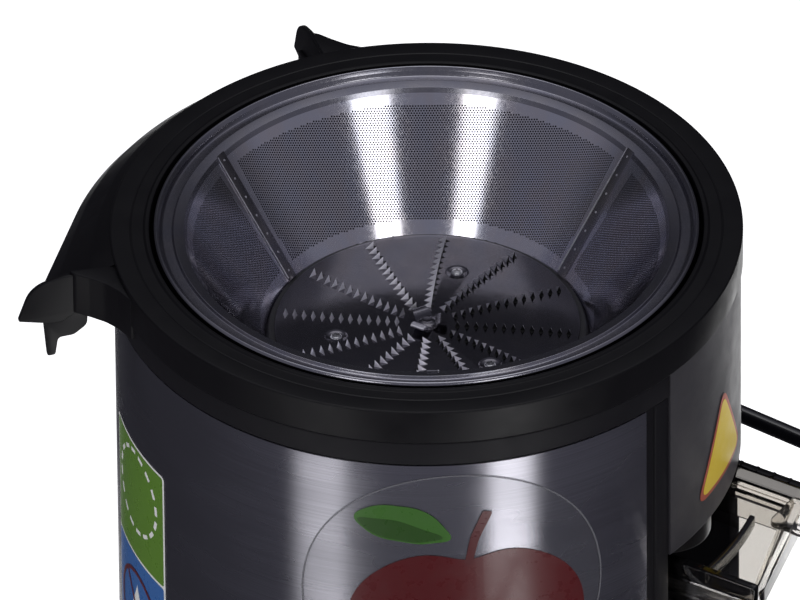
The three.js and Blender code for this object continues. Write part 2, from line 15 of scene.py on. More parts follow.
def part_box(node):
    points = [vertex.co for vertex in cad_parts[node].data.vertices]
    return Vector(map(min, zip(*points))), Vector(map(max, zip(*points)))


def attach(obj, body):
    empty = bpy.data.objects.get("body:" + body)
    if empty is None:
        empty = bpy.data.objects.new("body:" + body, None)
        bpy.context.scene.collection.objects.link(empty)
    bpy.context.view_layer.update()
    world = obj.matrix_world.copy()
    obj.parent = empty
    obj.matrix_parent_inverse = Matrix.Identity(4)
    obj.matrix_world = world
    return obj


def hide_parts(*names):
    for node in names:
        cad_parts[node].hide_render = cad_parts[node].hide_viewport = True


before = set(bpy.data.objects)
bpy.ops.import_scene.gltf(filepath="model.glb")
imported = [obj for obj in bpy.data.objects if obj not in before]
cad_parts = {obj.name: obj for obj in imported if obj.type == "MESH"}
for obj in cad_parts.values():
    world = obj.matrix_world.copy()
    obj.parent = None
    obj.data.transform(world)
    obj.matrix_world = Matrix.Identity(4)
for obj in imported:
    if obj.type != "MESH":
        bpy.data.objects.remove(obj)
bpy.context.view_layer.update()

# ---- Places and sizes, from the frame ----
MM = 0.001


def box_mm(node):
    """A CAD node's lowest and highest corners, in millimetres."""
    low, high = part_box(node)
    return low / MM, high / MM


cone_low, cone_high = box_mm("filter_cone")
AXIS = Vector(((cone_low.x + cone_high.x) / 2, (cone_low.y + cone_high.y) / 2, 0))
RING_Z = box_mm("juice_collector")[1].z - 0.5  # top of the flange, under its raised lip
DRUM_R = 82.0
FLANGE_R = 83.0
BOWL_R = 72.7
TRIM_Z = (box_mm("housing_trim")[0].z, box_mm("housing_trim")[1].z)
PANEL_Z = (box_mm("steel_front_panel")[0].z, box_mm("steel_front_panel")[1].z)
PANEL_ARC = (-165.8, -14.2)
SKIRT_ARC = (-8.0, 28.8)
DRUM_ARC = (29.1, 351.7)
HOUSING_Z0 = box_mm("motor_housing")[0].z
DECK_Z = 121.0
SPOUT = (69.5, 6.0)
DISC_R = 40.2
DISC_Z = 158.0
CONE_BOTTOM = (41.5, 157.0)
CONE_TOP = (64.1, 189.6)
SEAM_ANGLES = (180.0, 64.0, -57.0)
WING_R = 95.5
WING_ROOT_R = 81.5
WING_TANGENT = 197.0  # past this angle the wing's edge runs straight on
PIVOT_Z = 93.0
ARM_Y = 88.0
ROD_R = 2.4
KNOB_Z = 52.0
JUG_Y = (-9.7, 37.7)

CAMERA_AZIMUTH = 32.0
CAMERA_ELEVATION = 36.0
CAMERA_DISTANCE = 6.5  # metres; much farther away, the other views pass the camera's far limit
CAMERA_LENS = 1116.6
CAMERA_ROLL = -0.5
CAMERA_SHIFT = (7.1, 19.5)  # how far left of the flange's middle and below it the camera aims
FINE = 240  # steps round the drum
SHARP = 32  # degrees between faces, past which an edge stays sharp
FILM_THICKNESS = 0.05
FILM_CELL = 2.0  # along the drum, between a film's bends
INK_LIFT = 0.06  # each printed layer over the one below
STICKER_R = 82.25
MARKS_R = 82.12


def direction(azimuth, elevation):
    """The unit vector to a place seen at an azimuth and elevation in degrees."""
    a, e = math.radians(azimuth), math.radians(elevation)
    return Vector((math.sin(a) * math.cos(e), -math.cos(a) * math.cos(e), math.sin(e)))


def polar(radius, degrees):
    return radius * math.cos(math.radians(degrees)), radius * math.sin(math.radians(degrees))


def spin(degrees, axis="Z"):
    return Matrix.Rotation(math.radians(degrees), 4, axis)


def add_object(name, data):
    obj = bpy.data.objects.new(name, data)
    bpy.context.scene.collection.objects.link(obj)
    return obj


def smooth(mesh, sharp=SHARP):
    """Smooth shading, apart from edges sharper than an angle in degrees."""
    mesh.shade_smooth()
    mesh.set_sharp_from_angle(angle=math.radians(sharp))


# ---- Mesh making ----
def piece(name, verts, faces, materials, uvs=None, face_materials=None, sharp=SHARP, weld=False):
    """A mesh object from corners in millimetres about the spin axis."""
    mesh = bpy.data.meshes.new(name)
    points = [((x + AXIS.x) * MM, (y + AXIS.y) * MM, z * MM) for x, y, z in verts]
    mesh.from_pydata(points, [], faces)
    for material in materials if isinstance(materials, (list, tuple)) else [materials]:
        mesh.materials.append(material)
    if uvs is not None:
        layer = mesh.uv_layers.new(name="Surface")
        layer.data.foreach_set("uv", np.asarray(uvs, np.float32).ravel())
    if face_materials is not None:
        mesh.polygons.foreach_set("material_index", face_materials)
    if weld:
        shape = bmesh.new()
        shape.from_mesh(mesh)
        bmesh.ops.remove_doubles(shape, verts=shape.verts, dist=1e-7)
        bmesh.ops.dissolve_degenerate(shape, edges=shape.edges, dist=1e-8)
        shape.to_mesh(mesh)
        shape.free()
    mesh.validate()
    smooth(mesh, sharp)
    return add_object(name, mesh)


def settle(obj, body, slot, *nodes):
    """Fixes a piece to its CAD body and hides the nodes that it stands for. The slot argument is not used."""
    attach(obj, body)
    if nodes:
        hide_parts(*nodes)
    return obj


def soften(points, radius, steps=4):
    """A closed outline whose corners are rounded. A point may carry its own radius."""
    result = []
    count = len(points)
    for i, point in enumerate(points):
        here = Vector(point[:2])
        before = Vector(points[i - 1][:2])
        after = Vector(points[(i + 1) % count][:2])
        r = point[2] if len(point) > 2 else radius
        back, forth = before - here, after - here
        if r <= 0 or back.length < 1e-6 or forth.length < 1e-6:
            result.append((here.x, here.y))
            continue
        half = back.angle(forth) / 2
        if half > math.radians(88):
            result.append((here.x, here.y))
            continue
        reach = min(r / math.tan(half), 0.46 * back.length, 0.46 * forth.length)
        start, end = here + back.normalized() * reach, here + forth.normalized() * reach
        for k in range(steps + 1):
            t = k / steps
            spot = start * (1 - t) ** 2 + here * 2 * t * (1 - t) + end * t * t
            result.append((spot.x, spot.y))
    return result


def revolve(name, profile, materials, arc=(0, 360), steps=FINE, sharp=SHARP, centre=(0, 0),
            along=None, wave=None):
    """A closed [radius, height] profile, counter-clockwise, turned about an upright axis through
    centre. along turns that axis to +Y (1) or -Y (-1), with centre then as (x, z). wave adds to the
    radius by column, radius and height."""
    full = arc[1] - arc[0] >= 360
    columns = steps if full else steps + 1
    n = len(profile)
    run = [0.0]
    for k in range(n):
        (r0, z0), (r1, z1) = profile[k], profile[(k + 1) % n]
        run.append(run[-1] + math.hypot(r1 - r0, z1 - z0))
    mean = max(p[0] for p in profile)
    verts, faces, uvs = [], [], []
    for i in range(columns):
        angle = math.radians(arc[0] + (arc[1] - arc[0]) * i / steps)
        for r, z in profile:
            if wave:
                r += wave(i, r, z)
            verts.append((r * math.cos(angle), r * math.sin(angle), z))
    width = math.radians(arc[1] - arc[0]) * mean / steps
    for i in range(steps):
        j = (i + 1) % columns
        for k in range(n):
            m = (k + 1) % n
            faces.append((i * n + k, j * n + k, j * n + m, i * n + m))
            u0, u1, v0, v1 = i * width, (i + 1) * width, run[k], run[k + 1]
            uvs += [(u0, v0), (u1, v0), (u1, v1), (u0, v1)]
    if not full:
        faces.append(tuple(range(n)))
        faces.append(tuple(steps * n + k for k in reversed(range(n))))
        uvs += [*profile, *reversed(profile)]
    if along:
        verts = [(x, along * z, -along * y) for x, y, z in verts]
        verts = [(x + centre[0], y, z + centre[1]) for x, y, z in verts]
    else:
        verts = [(x + centre[0], y + centre[1], z) for x, y, z in verts]
    closed_axis = any(r < 1e-6 for r, _ in profile)
    return piece(name, verts, faces, materials, uvs, sharp=sharp, weld=closed_axis)


def prism(name, outline, z0, z1, materials, bevel=0.0, sharp=SHARP, turn=None, steps=2):
    """An outline raised from z0 to z1, its edges bevelled. turn is a matrix applied in millimetres."""
    n = len(outline)
    verts = [(x, y, z) for z in (z0, z1) for x, y in outline]
    if turn is not None:
        verts = [tuple(turn @ Vector(v)) for v in verts]
    faces = [(k, (k + 1) % n, n + (k + 1) % n, n + k) for k in range(n)]
    faces += [tuple(reversed(range(n))), tuple(range(n, 2 * n))]
    obj = piece(name, verts, faces, materials, sharp=sharp)
    if bevel:
        bevel_edges(obj, bevel, steps)
    return obj


def bevel_edges(obj, width, steps=2, angle=SHARP):
    """Rounds an object's sharp edges, width in millimetres."""
    shape = bmesh.new()
    shape.from_mesh(obj.data)
    limit = math.radians(angle)
    edges = [e for e in shape.edges if len(e.link_faces) == 2 and e.calc_face_angle() > limit]
    bmesh.ops.bevel(shape, geom=edges, offset=width * MM, segments=steps, profile=0.5,
                    affect="EDGES", clamp_overlap=True)
    shape.to_mesh(obj.data)
    shape.free()
    smooth(obj.data, angle)


def sweep(name, path, radius, materials, sides):
    """A round rod along a list of points in millimetres."""
    points = [Vector(p) for p in path]
    verts, faces = [], []
    side = Vector((0, 0, 1))
    for i, point in enumerate(points):
        ahead = (points[min(i + 1, len(points) - 1)] - points[max(i - 1, 0)]).normalized()
        across = side.cross(ahead).normalized()
        up = ahead.cross(across)
        for k in range(sides):
            angle = 2 * math.pi * k / sides
            verts.append(tuple(point + (across * math.cos(angle) + up * math.sin(angle)) * radius))
    for i in range(len(points) - 1):
        for k in range(sides):
            m = (k + 1) % sides
            faces.append((i * sides + k, i * sides + m, (i + 1) * sides + m, (i + 1) * sides + k))
    last = (len(points) - 1) * sides
    faces += [tuple(reversed(range(sides))), tuple(last + k for k in range(sides))]
    return piece(name, verts, faces, materials)


def merge(name, objects):
    """One object from several, with their materials kept."""
    shape = bmesh.new()
    materials = []
    for obj in objects:
        start = len(shape.faces)
        shape.from_mesh(obj.data)
        shape.faces.ensure_lookup_table()
        for face in shape.faces[start:]:
            material = obj.data.materials[face.material_index]
            if material not in materials:
                materials.append(material)
            face.material_index = materials.index(material)
    mesh = bpy.data.meshes.new(name)
    shape.to_mesh(mesh)
    shape.free()
    for material in materials:
        mesh.materials.append(material)
    for obj in objects:
        bpy.data.objects.remove(obj)
    return add_object(name, mesh)


def film(name, outlines, angle, z, radius, material):
    """Flat outlines of [along the drum, up] points, wrapped on the drum as one thin film."""
    shape = bmesh.new()
    for outline in outlines:
        shape.faces.new([shape.verts.new((s, t, 0)) for s, t in outline])
    low = min(s for o in outlines for s, _ in o)
    high = max(s for o in outlines for s, _ in o)
    for k in range(1, int((high - low) / FILM_CELL) + 1):
        whole = shape.verts[:] + shape.edges[:] + shape.faces[:]
        spot = (low + k * FILM_CELL, 0, 0)
        bmesh.ops.bisect_plane(shape, geom=whole, plane_co=spot, plane_no=(1, 0, 0))
    bmesh.ops.triangulate(shape, faces=[f for f in shape.faces if len(f.verts) > 4])
    bmesh.ops.recalc_face_normals(shape, faces=shape.faces)
    for face in shape.faces:
        if face.normal.z < 0:
            face.normal_flip()
    lifted = bmesh.ops.extrude_face_region(shape, geom=shape.faces[:])
    for vert in [g for g in lifted["geom"] if isinstance(g, bmesh.types.BMVert)]:
        vert.co.z = FILM_THICKNESS
    for vert in shape.verts:
        s, t, lift = vert.co
        a = math.radians(angle) + s / radius
        x, y = (radius + lift) * math.cos(a), (radius + lift) * math.sin(a)
        vert.co = ((x + AXIS.x) * MM, (y + AXIS.y) * MM, (z + t) * MM)
    bmesh.ops.recalc_face_normals(shape, faces=shape.faces)
    mesh = bpy.data.meshes.new(name)
    shape.to_mesh(mesh)
    shape.free()
    mesh.materials.append(material)
    smooth(mesh, 40)
    return add_object(name, mesh)


# ---- Materials ----
class Nodes:
    """A short way to write a material's nodes."""

    def __init__(self, name):
        self.material = bpy.data.materials.new(name)
        self.material.use_nodes = True
        self.tree = self.material.node_tree
        self.shader = next(n for n in self.tree.nodes if n.type == "BSDF_PRINCIPLED")

    def add(self, kind, inputs=None, **settings):
        node = self.tree.nodes.new("ShaderNode" + kind)
        for key, value in settings.items():
            setattr(node, key, value)
        for key, value in (inputs or {}).items():
            if isinstance(value, bpy.types.NodeSocket):
                self.tree.links.new(value, node.inputs[key])
            else:
                node.inputs[key].default_value = value
        return node

    def set(self, **values):
        for key, value in values.items():
            socket = self.shader.inputs[key.replace("_", " ")]
            if isinstance(value, bpy.types.NodeSocket):
                self.tree.links.new(value, socket)
            else:
                socket.default_value = (*value, 1.0) if isinstance(value, tuple) else value

    def spots(self, scale=(1, 1, 1)):
        """Object coordinates in millimetres, stretched by scale."""
        where = self.add("TexCoord").outputs["Object"]
        return self.add("Mapping", {0: where, "Scale": [s / MM for s in scale]}).outputs[0]

    def surface(self, scale=(1, 1, 1)):
        """The mesh's own surface coordinates in millimetres, stretched by scale."""
        where = self.add("UVMap", uv_map="Surface")
        return self.add("Mapping", {0: where.outputs[0], "Scale": list(scale)}).outputs[0]

    def noise(self, where, scale, detail=3.0, roughness=0.55):
        inputs = {"Vector": where, "Scale": scale, "Detail": detail, "Roughness": roughness}
        return self.add("TexNoise", inputs).outputs[0]

    def ramp(self, value, low, high, start=0.0, end=1.0):
        """A value from start..end moved to low..high."""
        inputs = {0: value, 1: start, 2: end, 3: low, 4: high}
        return self.add("MapRange", inputs).outputs[0]

    def blend(self, share, first, second):
        node = self.add("Mix", data_type="RGBA")
        self.tree.links.new(share, node.inputs[0])
        node.inputs[6].default_value = (*first, 1)
        node.inputs[7].default_value = (*second, 1)
        return node.outputs[2]

    def finish(self, shader):
        """Makes shader the material's surface."""
        out = next(n for n in self.tree.nodes if n.type == "OUTPUT_MATERIAL")
        self.tree.links.new(shader.outputs[0], out.inputs[0])

    def bump(self, height, depth):
        """A bump of depth millimetres."""
        return self.add("Bump", {"Strength": 1.0, "Distance": depth * MM, "Height": height}).outputs[0]


def moulded(name, colour, roughness, grain=0.6, depth=0.02, spread=0.06, coat=0.0, lift=1.25,
            gleam=0.5):
    """Moulded plastic: fine grain, a little unevenness in colour and gloss."""
    m = Nodes(name)
    fine = m.noise(m.spots(), 1 / grain, 4)
    broad = m.noise(m.spots(), 0.05, 2)
    m.set(
        Base_Color=m.blend(broad, colour, tuple(c * lift for c in colour)),
        Roughness=m.ramp(
            m.noise(m.spots(), 0.12, 5), roughness - spread, roughness + spread, 0.3, 0.7),
        Normal=m.bump(fine, depth),
        Specular_IOR_Level=gleam,
        Coat_Weight=coat,
        Coat_Roughness=0.12,
    )
    return m.material


def polished(name, colour, tint, roughness, depth=0.0):
    """Polished sheet with faint wipe marks and a changing tint."""
    m = Nodes(name)
    smear = m.noise(m.spots((1, 1, 0.15)), 0.16, 4)
    fine = m.noise(m.spots((1, 1, 0.3)), 1.6, 5)
    m.set(
        Base_Color=m.blend(m.ramp(smear, 0, 1, 0.35, 0.65), colour, tint),
        Metallic=1.0,
        Roughness=m.ramp(fine, roughness * 0.8, roughness * 1.35, 0.3, 0.7),
    )
    if depth:
        m.set(Normal=m.bump(m.noise(m.spots(), 0.35, 3), depth))
    return m.material


def brushed(name, colour, roughness, anisotropy):
    """Steel brushed round the drum: long hair lines along the surface's first coordinate."""
    m = Nodes(name)
    hair = m.noise(m.surface((0.012, 4.5, 1)), 1.0, 6, 0.7)
    broad = m.noise(m.surface((0.02, 0.05, 1)), 1.0, 2)
    darker, lighter = tuple(c * 0.8 for c in colour), tuple(c * 1.25 for c in colour)
    m.set(
        Base_Color=m.blend(m.ramp(hair, 0, 1, 0.3, 0.7), darker, lighter),
        Metallic=1.0,
        Roughness=m.ramp(broad, roughness - 0.03, roughness + 0.03, 0.35, 0.65),
        Anisotropic=anisotropy,
        Anisotropic_Rotation=0.25,
        Normal=m.bump(hair, 0.006),
        Tangent=m.add("Tangent", direction_type="UV_MAP", uv_map="Surface").outputs[0],
    )
    return m.material


def clear(name, tint):
    """Smoky clear moulded plastic that lets lamps through."""
    m = Nodes(name)
    roughness, waviness = 0.03, 0.004
    m.set(Base_Color=tint, Transmission_Weight=1.0, IOR=1.49)
    m.set(Roughness=m.ramp(m.noise(m.spots(), 0.2, 3), roughness * 0.6, roughness * 1.6, 0.3, 0.7))
    m.set(Normal=m.bump(m.noise(m.spots(), 0.4, 3), waviness))
    path = m.add("LightPath")
    through = m.add("BsdfTransparent", {"Color": (*tint, 1)})
    shadow = path.outputs["Is Shadow Ray"]
    m.finish(m.add("MixShader", {0: shadow, 1: m.shader.outputs[0], 2: through.outputs[0]}))
    return m.material


def thin_wall(name, tint):
    """A thin clear wall: the view goes straight through it, tinted, under a gloss that grows at a
    slant. The wall's far side takes the inverse index, so it doesn't turn into a mirror."""
    m = Nodes(name)
    gloss, index = 0.05, 1.45
    through = m.add("BsdfTransparent", {"Color": (*tint, 1)})
    rough = m.ramp(m.noise(m.spots(), 0.2, 3), gloss, gloss * 2)
    sheen = m.add("BsdfGlossy", {"Color": (1, 1, 1, 1), "Roughness": rough})
    inside = m.add("NewGeometry").outputs["Backfacing"]
    slant = m.add("Fresnel", {"IOR": m.ramp(inside, index, 1 / index)})
    mix = m.add("MixShader", {0: slant.outputs[0], 1: through.outputs[0], 2: sheen.outputs[0]})
    m.tree.nodes.remove(m.shader)
    m.finish(mix)
    return m.material


def printed(name, colour, roughness=0.3, coat=0.4):
    """Printed film: ink with a faint screen grain under a clear gloss."""
    m = Nodes(name)
    grain = m.noise(m.spots(), 2.2, 3)
    darker = tuple(c * (1 - 0.02 * 3) for c in colour)
    m.set(
        Base_Color=m.blend(grain, darker, colour),
        Roughness=m.ramp(
            m.noise(m.spots(), 0.3, 3), roughness - 0.05, roughness + 0.05, 0.3, 0.7),
        Coat_Weight=coat,
        Coat_Roughness=0.15,
        Normal=m.bump(m.noise(m.spots(), 0.25, 2), 0.004),
    )
    return m.material


HOUSING = moulded("housing_black", (0.0060, 0.0055, 0.0072), 0.50,
                  grain=0.35, depth=0.010, gleam=0.3)
COLLECTOR = moulded("collector_black", (0.0034, 0.0030, 0.0040), 0.42,
                    grain=0.3, depth=0.006, gleam=0.36)
# The collector's skirt: the collector's plastic made some ten times lighter, painted light for its lit side.
SKIRT_PAINTED_LIGHT = moulded("skirt_black_painted_light", (0.030, 0.028, 0.033), 0.50, grain=0.45, depth=0.030)
BASE = moulded("base_black", (0.012, 0.012, 0.012), 0.6, grain=0.5, depth=0.03)
DIAL = moulded("dial_gloss_black", (0.006, 0.006, 0.007), 0.2, depth=0.002, spread=0.04, coat=1.0)
KNOB = moulded("knob_black", (0.014, 0.013, 0.015), 0.4, grain=0.4, depth=0.01)
LACQUER = moulded("bail_lacquer_black", (0.004, 0.004, 0.006), 0.25, depth=0.004, spread=0.05, coat=1.0)
CARRIER = moulded("carrier_black", (0.02, 0.02, 0.022), 0.35)
BRACKET = moulded("bracket_black", (0.022, 0.022, 0.025), 0.55, grain=0.8, depth=0.05)
NYLON = moulded("natural_nylon", (0.66, 0.63, 0.55), 0.4, lift=1.05)
RUBBER = moulded("rubber_black", (0.011, 0.011, 0.011), 0.8, grain=0.7, depth=0.05)
SLEEVE = moulded("wire_sleeve_black", (0.014, 0.014, 0.015), 0.6)
CARBON = moulded("carbon_grey", (0.02, 0.02, 0.021), 0.7, grain=0.3, depth=0.04)
CASE_YELLOW = moulded("capacitor_yellow", (0.52, 0.36, 0.03), 0.3, coat=0.5, lift=1.1)
PANEL_STEEL = brushed("panel_steel_brushed", (0.48, 0.47, 0.52), 0.27, 1.0)
CONE_STEEL = polished("cone_steel_polished", (0.78, 0.79, 0.89), (0.82, 0.78, 0.82), 0.12)
# Seam strips: the basket's steel made darker, painted shade.
STRIP_STEEL_SHADED = polished("strip_steel_painted_shade", (0.30, 0.30, 0.34), (0.36, 0.34, 0.34), 0.14)
# The rim: the basket's steel made darker for the dark surroundings it reflects, painted shade.
RIM_STEEL_SHADED = polished("rim_steel_painted_shade", (0.36, 0.36, 0.41), (0.40, 0.39, 0.42), 0.17)
# The grater disc's steel made far darker than the teeth cut from it: painted shade.
DISC_STEEL_SHADED = polished("disc_steel_painted_shade", (0.13, 0.127, 0.147), (0.15, 0.144, 0.16), 0.15, depth=0.02)
TOOTH_STEEL = polished("tooth_steel_cut", (0.80, 0.79, 0.84), (0.84, 0.83, 0.86), 0.36)
PLATED = polished("zinc_plated_steel", (0.55, 0.55, 0.54), (0.6, 0.58, 0.5), 0.25)
GROUND = polished("ground_steel", (0.55, 0.55, 0.57), (0.6, 0.6, 0.6), 0.2)
LAMINATION = polished("lamination_steel", (0.18, 0.18, 0.19), (0.24, 0.21, 0.18), 0.5, depth=0.05)
COPPER = polished("copper_winding", (0.62, 0.26, 0.12), (0.72, 0.38, 0.2), 0.35, depth=0.1)
BRASS = polished("brush_brass", (0.66, 0.5, 0.2), (0.72, 0.58, 0.3), 0.3)
# Flat black for the teeth's openings: painted shade where a hole would show the dark beneath.
DARK = moulded("opening_painted_shade", (0.002, 0.002, 0.002), 0.8)
JUG_CLEAR = thin_wall("jug_clear", (0.93, 0.93, 0.925))
LID_SMOKE = clear("lid_smoky_clear", (0.83, 0.805, 0.77))
LID_PLATE = thin_wall("lid_plate_smoky_clear", (0.84, 0.82, 0.79))
# The lid's clear plastic tinted near black on the rails: painted shade for the dark refractions they show.
LID_RAIL_SHADED = clear("lid_rail_clear_painted_shade", (0.20, 0.19, 0.18))
INK_GREEN = printed("ink_green", (0.095, 0.21, 0.017))
INK_BLUE = printed("ink_blue", (0.03, 0.12, 0.36))
INK_WHITE = printed("ink_white", (0.78, 0.78, 0.76))
INK_MAROON = printed("ink_maroon", (0.10, 0.012, 0.020))
INK_YELLOW = printed("ink_yellow", (0.72, 0.52, 0.02), roughness=0.5, coat=0.08)
INK_RUST = printed("ink_rust", (0.40, 0.075, 0.04), roughness=0.5, coat=0.08)
FRUIT_RED = printed("ink_fruit_red", (0.085, 0.006, 0.008), coat=0.5)
FRUIT_DARK = printed("ink_stem_red", (0.075, 0.006, 0.008))
LEAF_GREEN = printed("ink_leaf_green", (0.045, 0.14, 0.02))
LEAF_DARK = printed("ink_leaf_dark", (0.025, 0.075, 0.012))
DIAL_MARKS = printed("ink_dial_white", (0.6, 0.6, 0.6), roughness=0.5, coat=0)


def clear_film(name, haze=0.05):
    """Clear adhesive film: a faint haze and its own gloss."""
    m = Nodes(name)
    m.set(Base_Color=(0.2, 0.2, 0.22), Alpha=haze, Coat_Weight=0.3, Coat_Roughness=0.12)
    m.set(Roughness=m.ramp(m.noise(m.spots(), 0.3, 3), 0.25, 0.4, 0.3, 0.7))
    return m.material


FILM = clear_film("badge_clear_film")
FILM_EDGE_SHEEN = clear_film("badge_film_edge_sheen", haze=0.42)


# ---- Juice collector ----
def collector():
    under = TRIM_Z[1] + 0.3
    profile = soften([
        (12, 126, 0), (75.2, 126, 1), (75.2, 187.5, 0), (80.5, 187.5, 0), (80.5, under, 0),
        (FLANGE_R - 0.35, under, 0.2), (FLANGE_R, TRIM_Z[1] + 0.7, 0.2),
        (FLANGE_R, RING_Z - 0.05, 0.6), (77.9, RING_Z, 0.2), (77.6, RING_Z - 0.14, 0.1),
        (77.3, RING_Z, 0.2), (74.3, RING_Z, 0.4), (73.7, RING_Z + 0.55, 0.3),
        (BOWL_R, RING_Z + 0.4, 0.3), (BOWL_R - 0.1, RING_Z - 1, 0),
        (BOWL_R, 131, 2), (70, 128.5, 2), (14.4, 128.5, 1), (14.4, 149, 0.5), (12, 149, 0.5),
    ], 0.3)
    bowl = revolve("juice_collector_bowl", profile, COLLECTOR)
    settle(bowl, "base", "collector_plastic", "juice_collector")

    wing = soften([(80.5, 180, 0), (93.6, 174.3, 0), (95.5, 174.3, 0.6), (95.5, 176.6, 0.7), (92.2, 180.8, 6),
                   (86.2, 186.4, 5), (81.6, RING_Z - 0.5, 0.4), (80.5, RING_Z - 0.8, 0)], 1, 6)
    sheet = revolve("pulp_wing", wing, COLLECTOR, arc=(140.2, 222.3), steps=110, sharp=50)
    for vert in sheet.data.vertices:
        x, y = vert.co.x - AXIS.x * MM, vert.co.y - AXIS.y * MM
        radius = math.hypot(x, y) / MM
        past = math.atan2(-y, -x) + math.pi - math.radians(WING_TANGENT)
        share = max(0.0, (radius - WING_ROOT_R) / (WING_R - WING_ROOT_R))
        if past > 0:
            grown = share * WING_R * (1 / math.cos(past) - 1) / radius
            vert.co.x += x * grown
            vert.co.y += y * grown
    settle(sheet, "base", "collector_plastic")

    skirt = soften([(80, DECK_Z, 0.5), (82.5, DECK_Z, 0.7), (82.5, 186, 0), (80, 186, 0)], 0.5)
    settle(revolve("collector_skirt", skirt, SKIRT_PAINTED_LIGHT, arc=SKIRT_ARC, steps=60), "base", "collector_plastic")

    spout = soften([(10, 114.5, 0.6), (12, 114.5, 0.8), (12, 137, 0), (10, 137, 0)], 0.6)
    settle(revolve("juice_spout", spout, COLLECTOR, steps=72, centre=SPOUT), "base", "collector_plastic")


def fins():
    """The two hooked fins that hold the pulp container's rim: a blade, a tab with a lobe behind it, and
    a hollow-faced web that carries the blade back to the flange. Outlines are [radius, depth]."""
    blade = [
        (82.6, 17.3, 0), (82.6, 10.2, 0), (81, 8, 0), (87, 2.6, 14), (96, 2.5, 10), (105.4, 5.4, 9), (109, 15.6, 0.7),
        (102.2, 16.9, 0.5), (97.6, 17.2, 1.5), (94.5, 15.2, 4), (90.6, 13.6, 4), (87.2, 13.8, 3),
    ]
    tab = [(102.1, 12, 0), (102.1, 17, 0.3), (101.2, 28.4, 0.8), (99, 28.2, 0.8), (98.2, 22.8, 1.5), (94, 22.4, 3),
           (90.4, 19.5, 3), (90.2, 11, 1)]
    web = [(95, 0, 0), (94, 1.1, 4), (90.5, 2.8, 9), (87, 5, 9), (84.7, 7.6, 9), (83, 11.5, 3), (81.2, 11.5, 0),
           (81.2, 0, 0)]
    for number, (angle, side) in enumerate(((140.5, -1), (222.0, 1)), 1):
        turn = spin(angle) @ Matrix.Translation((0, 0, RING_Z)) @ spin(90, "X")
        parts = []
        for outline, near, far in ((blade, -0.25, 1.3), (tab, -1.3, 0.2)):
            flat = [(r, -h) for r, h in soften(outline, 1, 8)]
            low, high = (-far, -near) if side > 0 else (near, far)
            parts.append(prism("plate", flat[::-1], low, high, COLLECTOR, 0.35, turn=turn, steps=3))
        plan = soften([(*polar(r, angle + side * away), soft) for r, away, soft in web], 1, 6)
        if side < 0:
            plan.reverse()
        parts.append(prism("web", plan, RING_Z - 14.3, RING_Z - 1.6, COLLECTOR, 0.35, steps=3))
        settle(merge(f"pulp_fin_{number}", parts), "base", "collector_plastic")


# ---- Housing ----
def arc_points(radius, start, end):
    count = max(1, round(abs(end - start) / 1.5))
    return [polar(radius, start + (end - start) * i / count) for i in range(count + 1)]


def housing():
    groove = 2.5  # degrees beside the panel
    left, right = PANEL_ARC[0] + 360, PANEL_ARC[1] + 360
    outer = arc_points(DRUM_R, DRUM_ARC[0], left - groove)
    outer += arc_points(DRUM_R - 1.0, left - groove + 0.15, left)
    outer += arc_points(DRUM_R - 0.8, left + 0.1, right - 0.1)
    outer += arc_points(DRUM_R - 1.0, right, right + groove - 0.15)
    outer += arc_points(DRUM_R, right + groove, DRUM_ARC[1])
    inner = arc_points(DRUM_R - 2.5, DRUM_ARC[1], DRUM_ARC[0])
    shell = prism("housing_shell", outer + inner, HOUSING_Z0, TRIM_Z[0] - 0.3, HOUSING, sharp=25)
    bevel_edges(shell, 0.25, 2, 40)
    settle(shell, "base", "housing_plastic", "motor_housing")

    foot_band = soften([(79.5, HOUSING_Z0, 0.3), (DRUM_R, HOUSING_Z0, 0.6), (DRUM_R, PANEL_Z[0] - 0.3, 0.3),
                        (79.5, PANEL_Z[0] - 0.3, 0)], 0.3)
    reach = (PANEL_ARC[0] - 2.4, PANEL_ARC[1] + 2.4)
    band = revolve("housing_foot_band", foot_band, HOUSING, arc=reach, steps=150)
    settle(band, "base", "housing_plastic")

    trim = soften([(79, TRIM_Z[0], 0.2), (DRUM_R + 0.3, TRIM_Z[0], 0.5), (DRUM_R + 0.3, TRIM_Z[1], 0.6),
                   (79, TRIM_Z[1], 0)], 0.3)
    band = revolve("trim_band", trim, HOUSING, arc=(DRUM_ARC[0] + 0.1, DRUM_ARC[1] - 0.1))
    settle(band, "base", "housing_plastic", "housing_trim")

    # The recess that takes the jug, and the deck over it.
    x0, x1 = 43.0, 79.6
    y0, y1 = -11.5, 39.7
    wall = 2.5
    bay = [(x0 - wall, y0 - wall), (x1, y0 - wall), (x1, y0), (x0, y0), (x0, y1), (x1 - 9, y1),
           (x1 - 9, y1 + wall), (x0 - wall, y1 + wall)]
    bay = soften([(*p, 0.8 if i in (2, 5) else 1.5) for i, p in enumerate(bay)], 1)
    settle(prism("jug_bay", bay, HOUSING_Z0, DECK_Z, HOUSING, bevel=0.2), "base", "housing_plastic")
    low, high = DECK_Z + 0.02, DECK_Z + 2.5
    plate = [(13.0, low), (79.8, low), (79.8, high), (13.0, high)]
    deck = revolve("motor_deck", plate, HOUSING, steps=120)
    low, high = DECK_Z - 2, DECK_Z + 5
    plug = [(0, low), (12.8, low), (12.8, high), (0, high)]
    hole = revolve("cut", plug, HOUSING, steps=72, centre=SPOUT)
    settle(cut_away(deck, hole), "base", "housing_plastic")


def cut_away(obj, tool):
    """Takes tool's volume out of obj."""
    cutter = obj.modifiers.new("cut", "BOOLEAN")
    cutter.operation = "DIFFERENCE"
    cutter.object = tool
    cutter.solver = "EXACT"
    graph = bpy.context.evaluated_depsgraph_get()
    mesh = bpy.data.meshes.new_from_object(obj.evaluated_get(graph))
    obj.modifiers.clear()
    obj.data = mesh
    smooth(mesh)
    bpy.data.objects.remove(tool)
    return obj


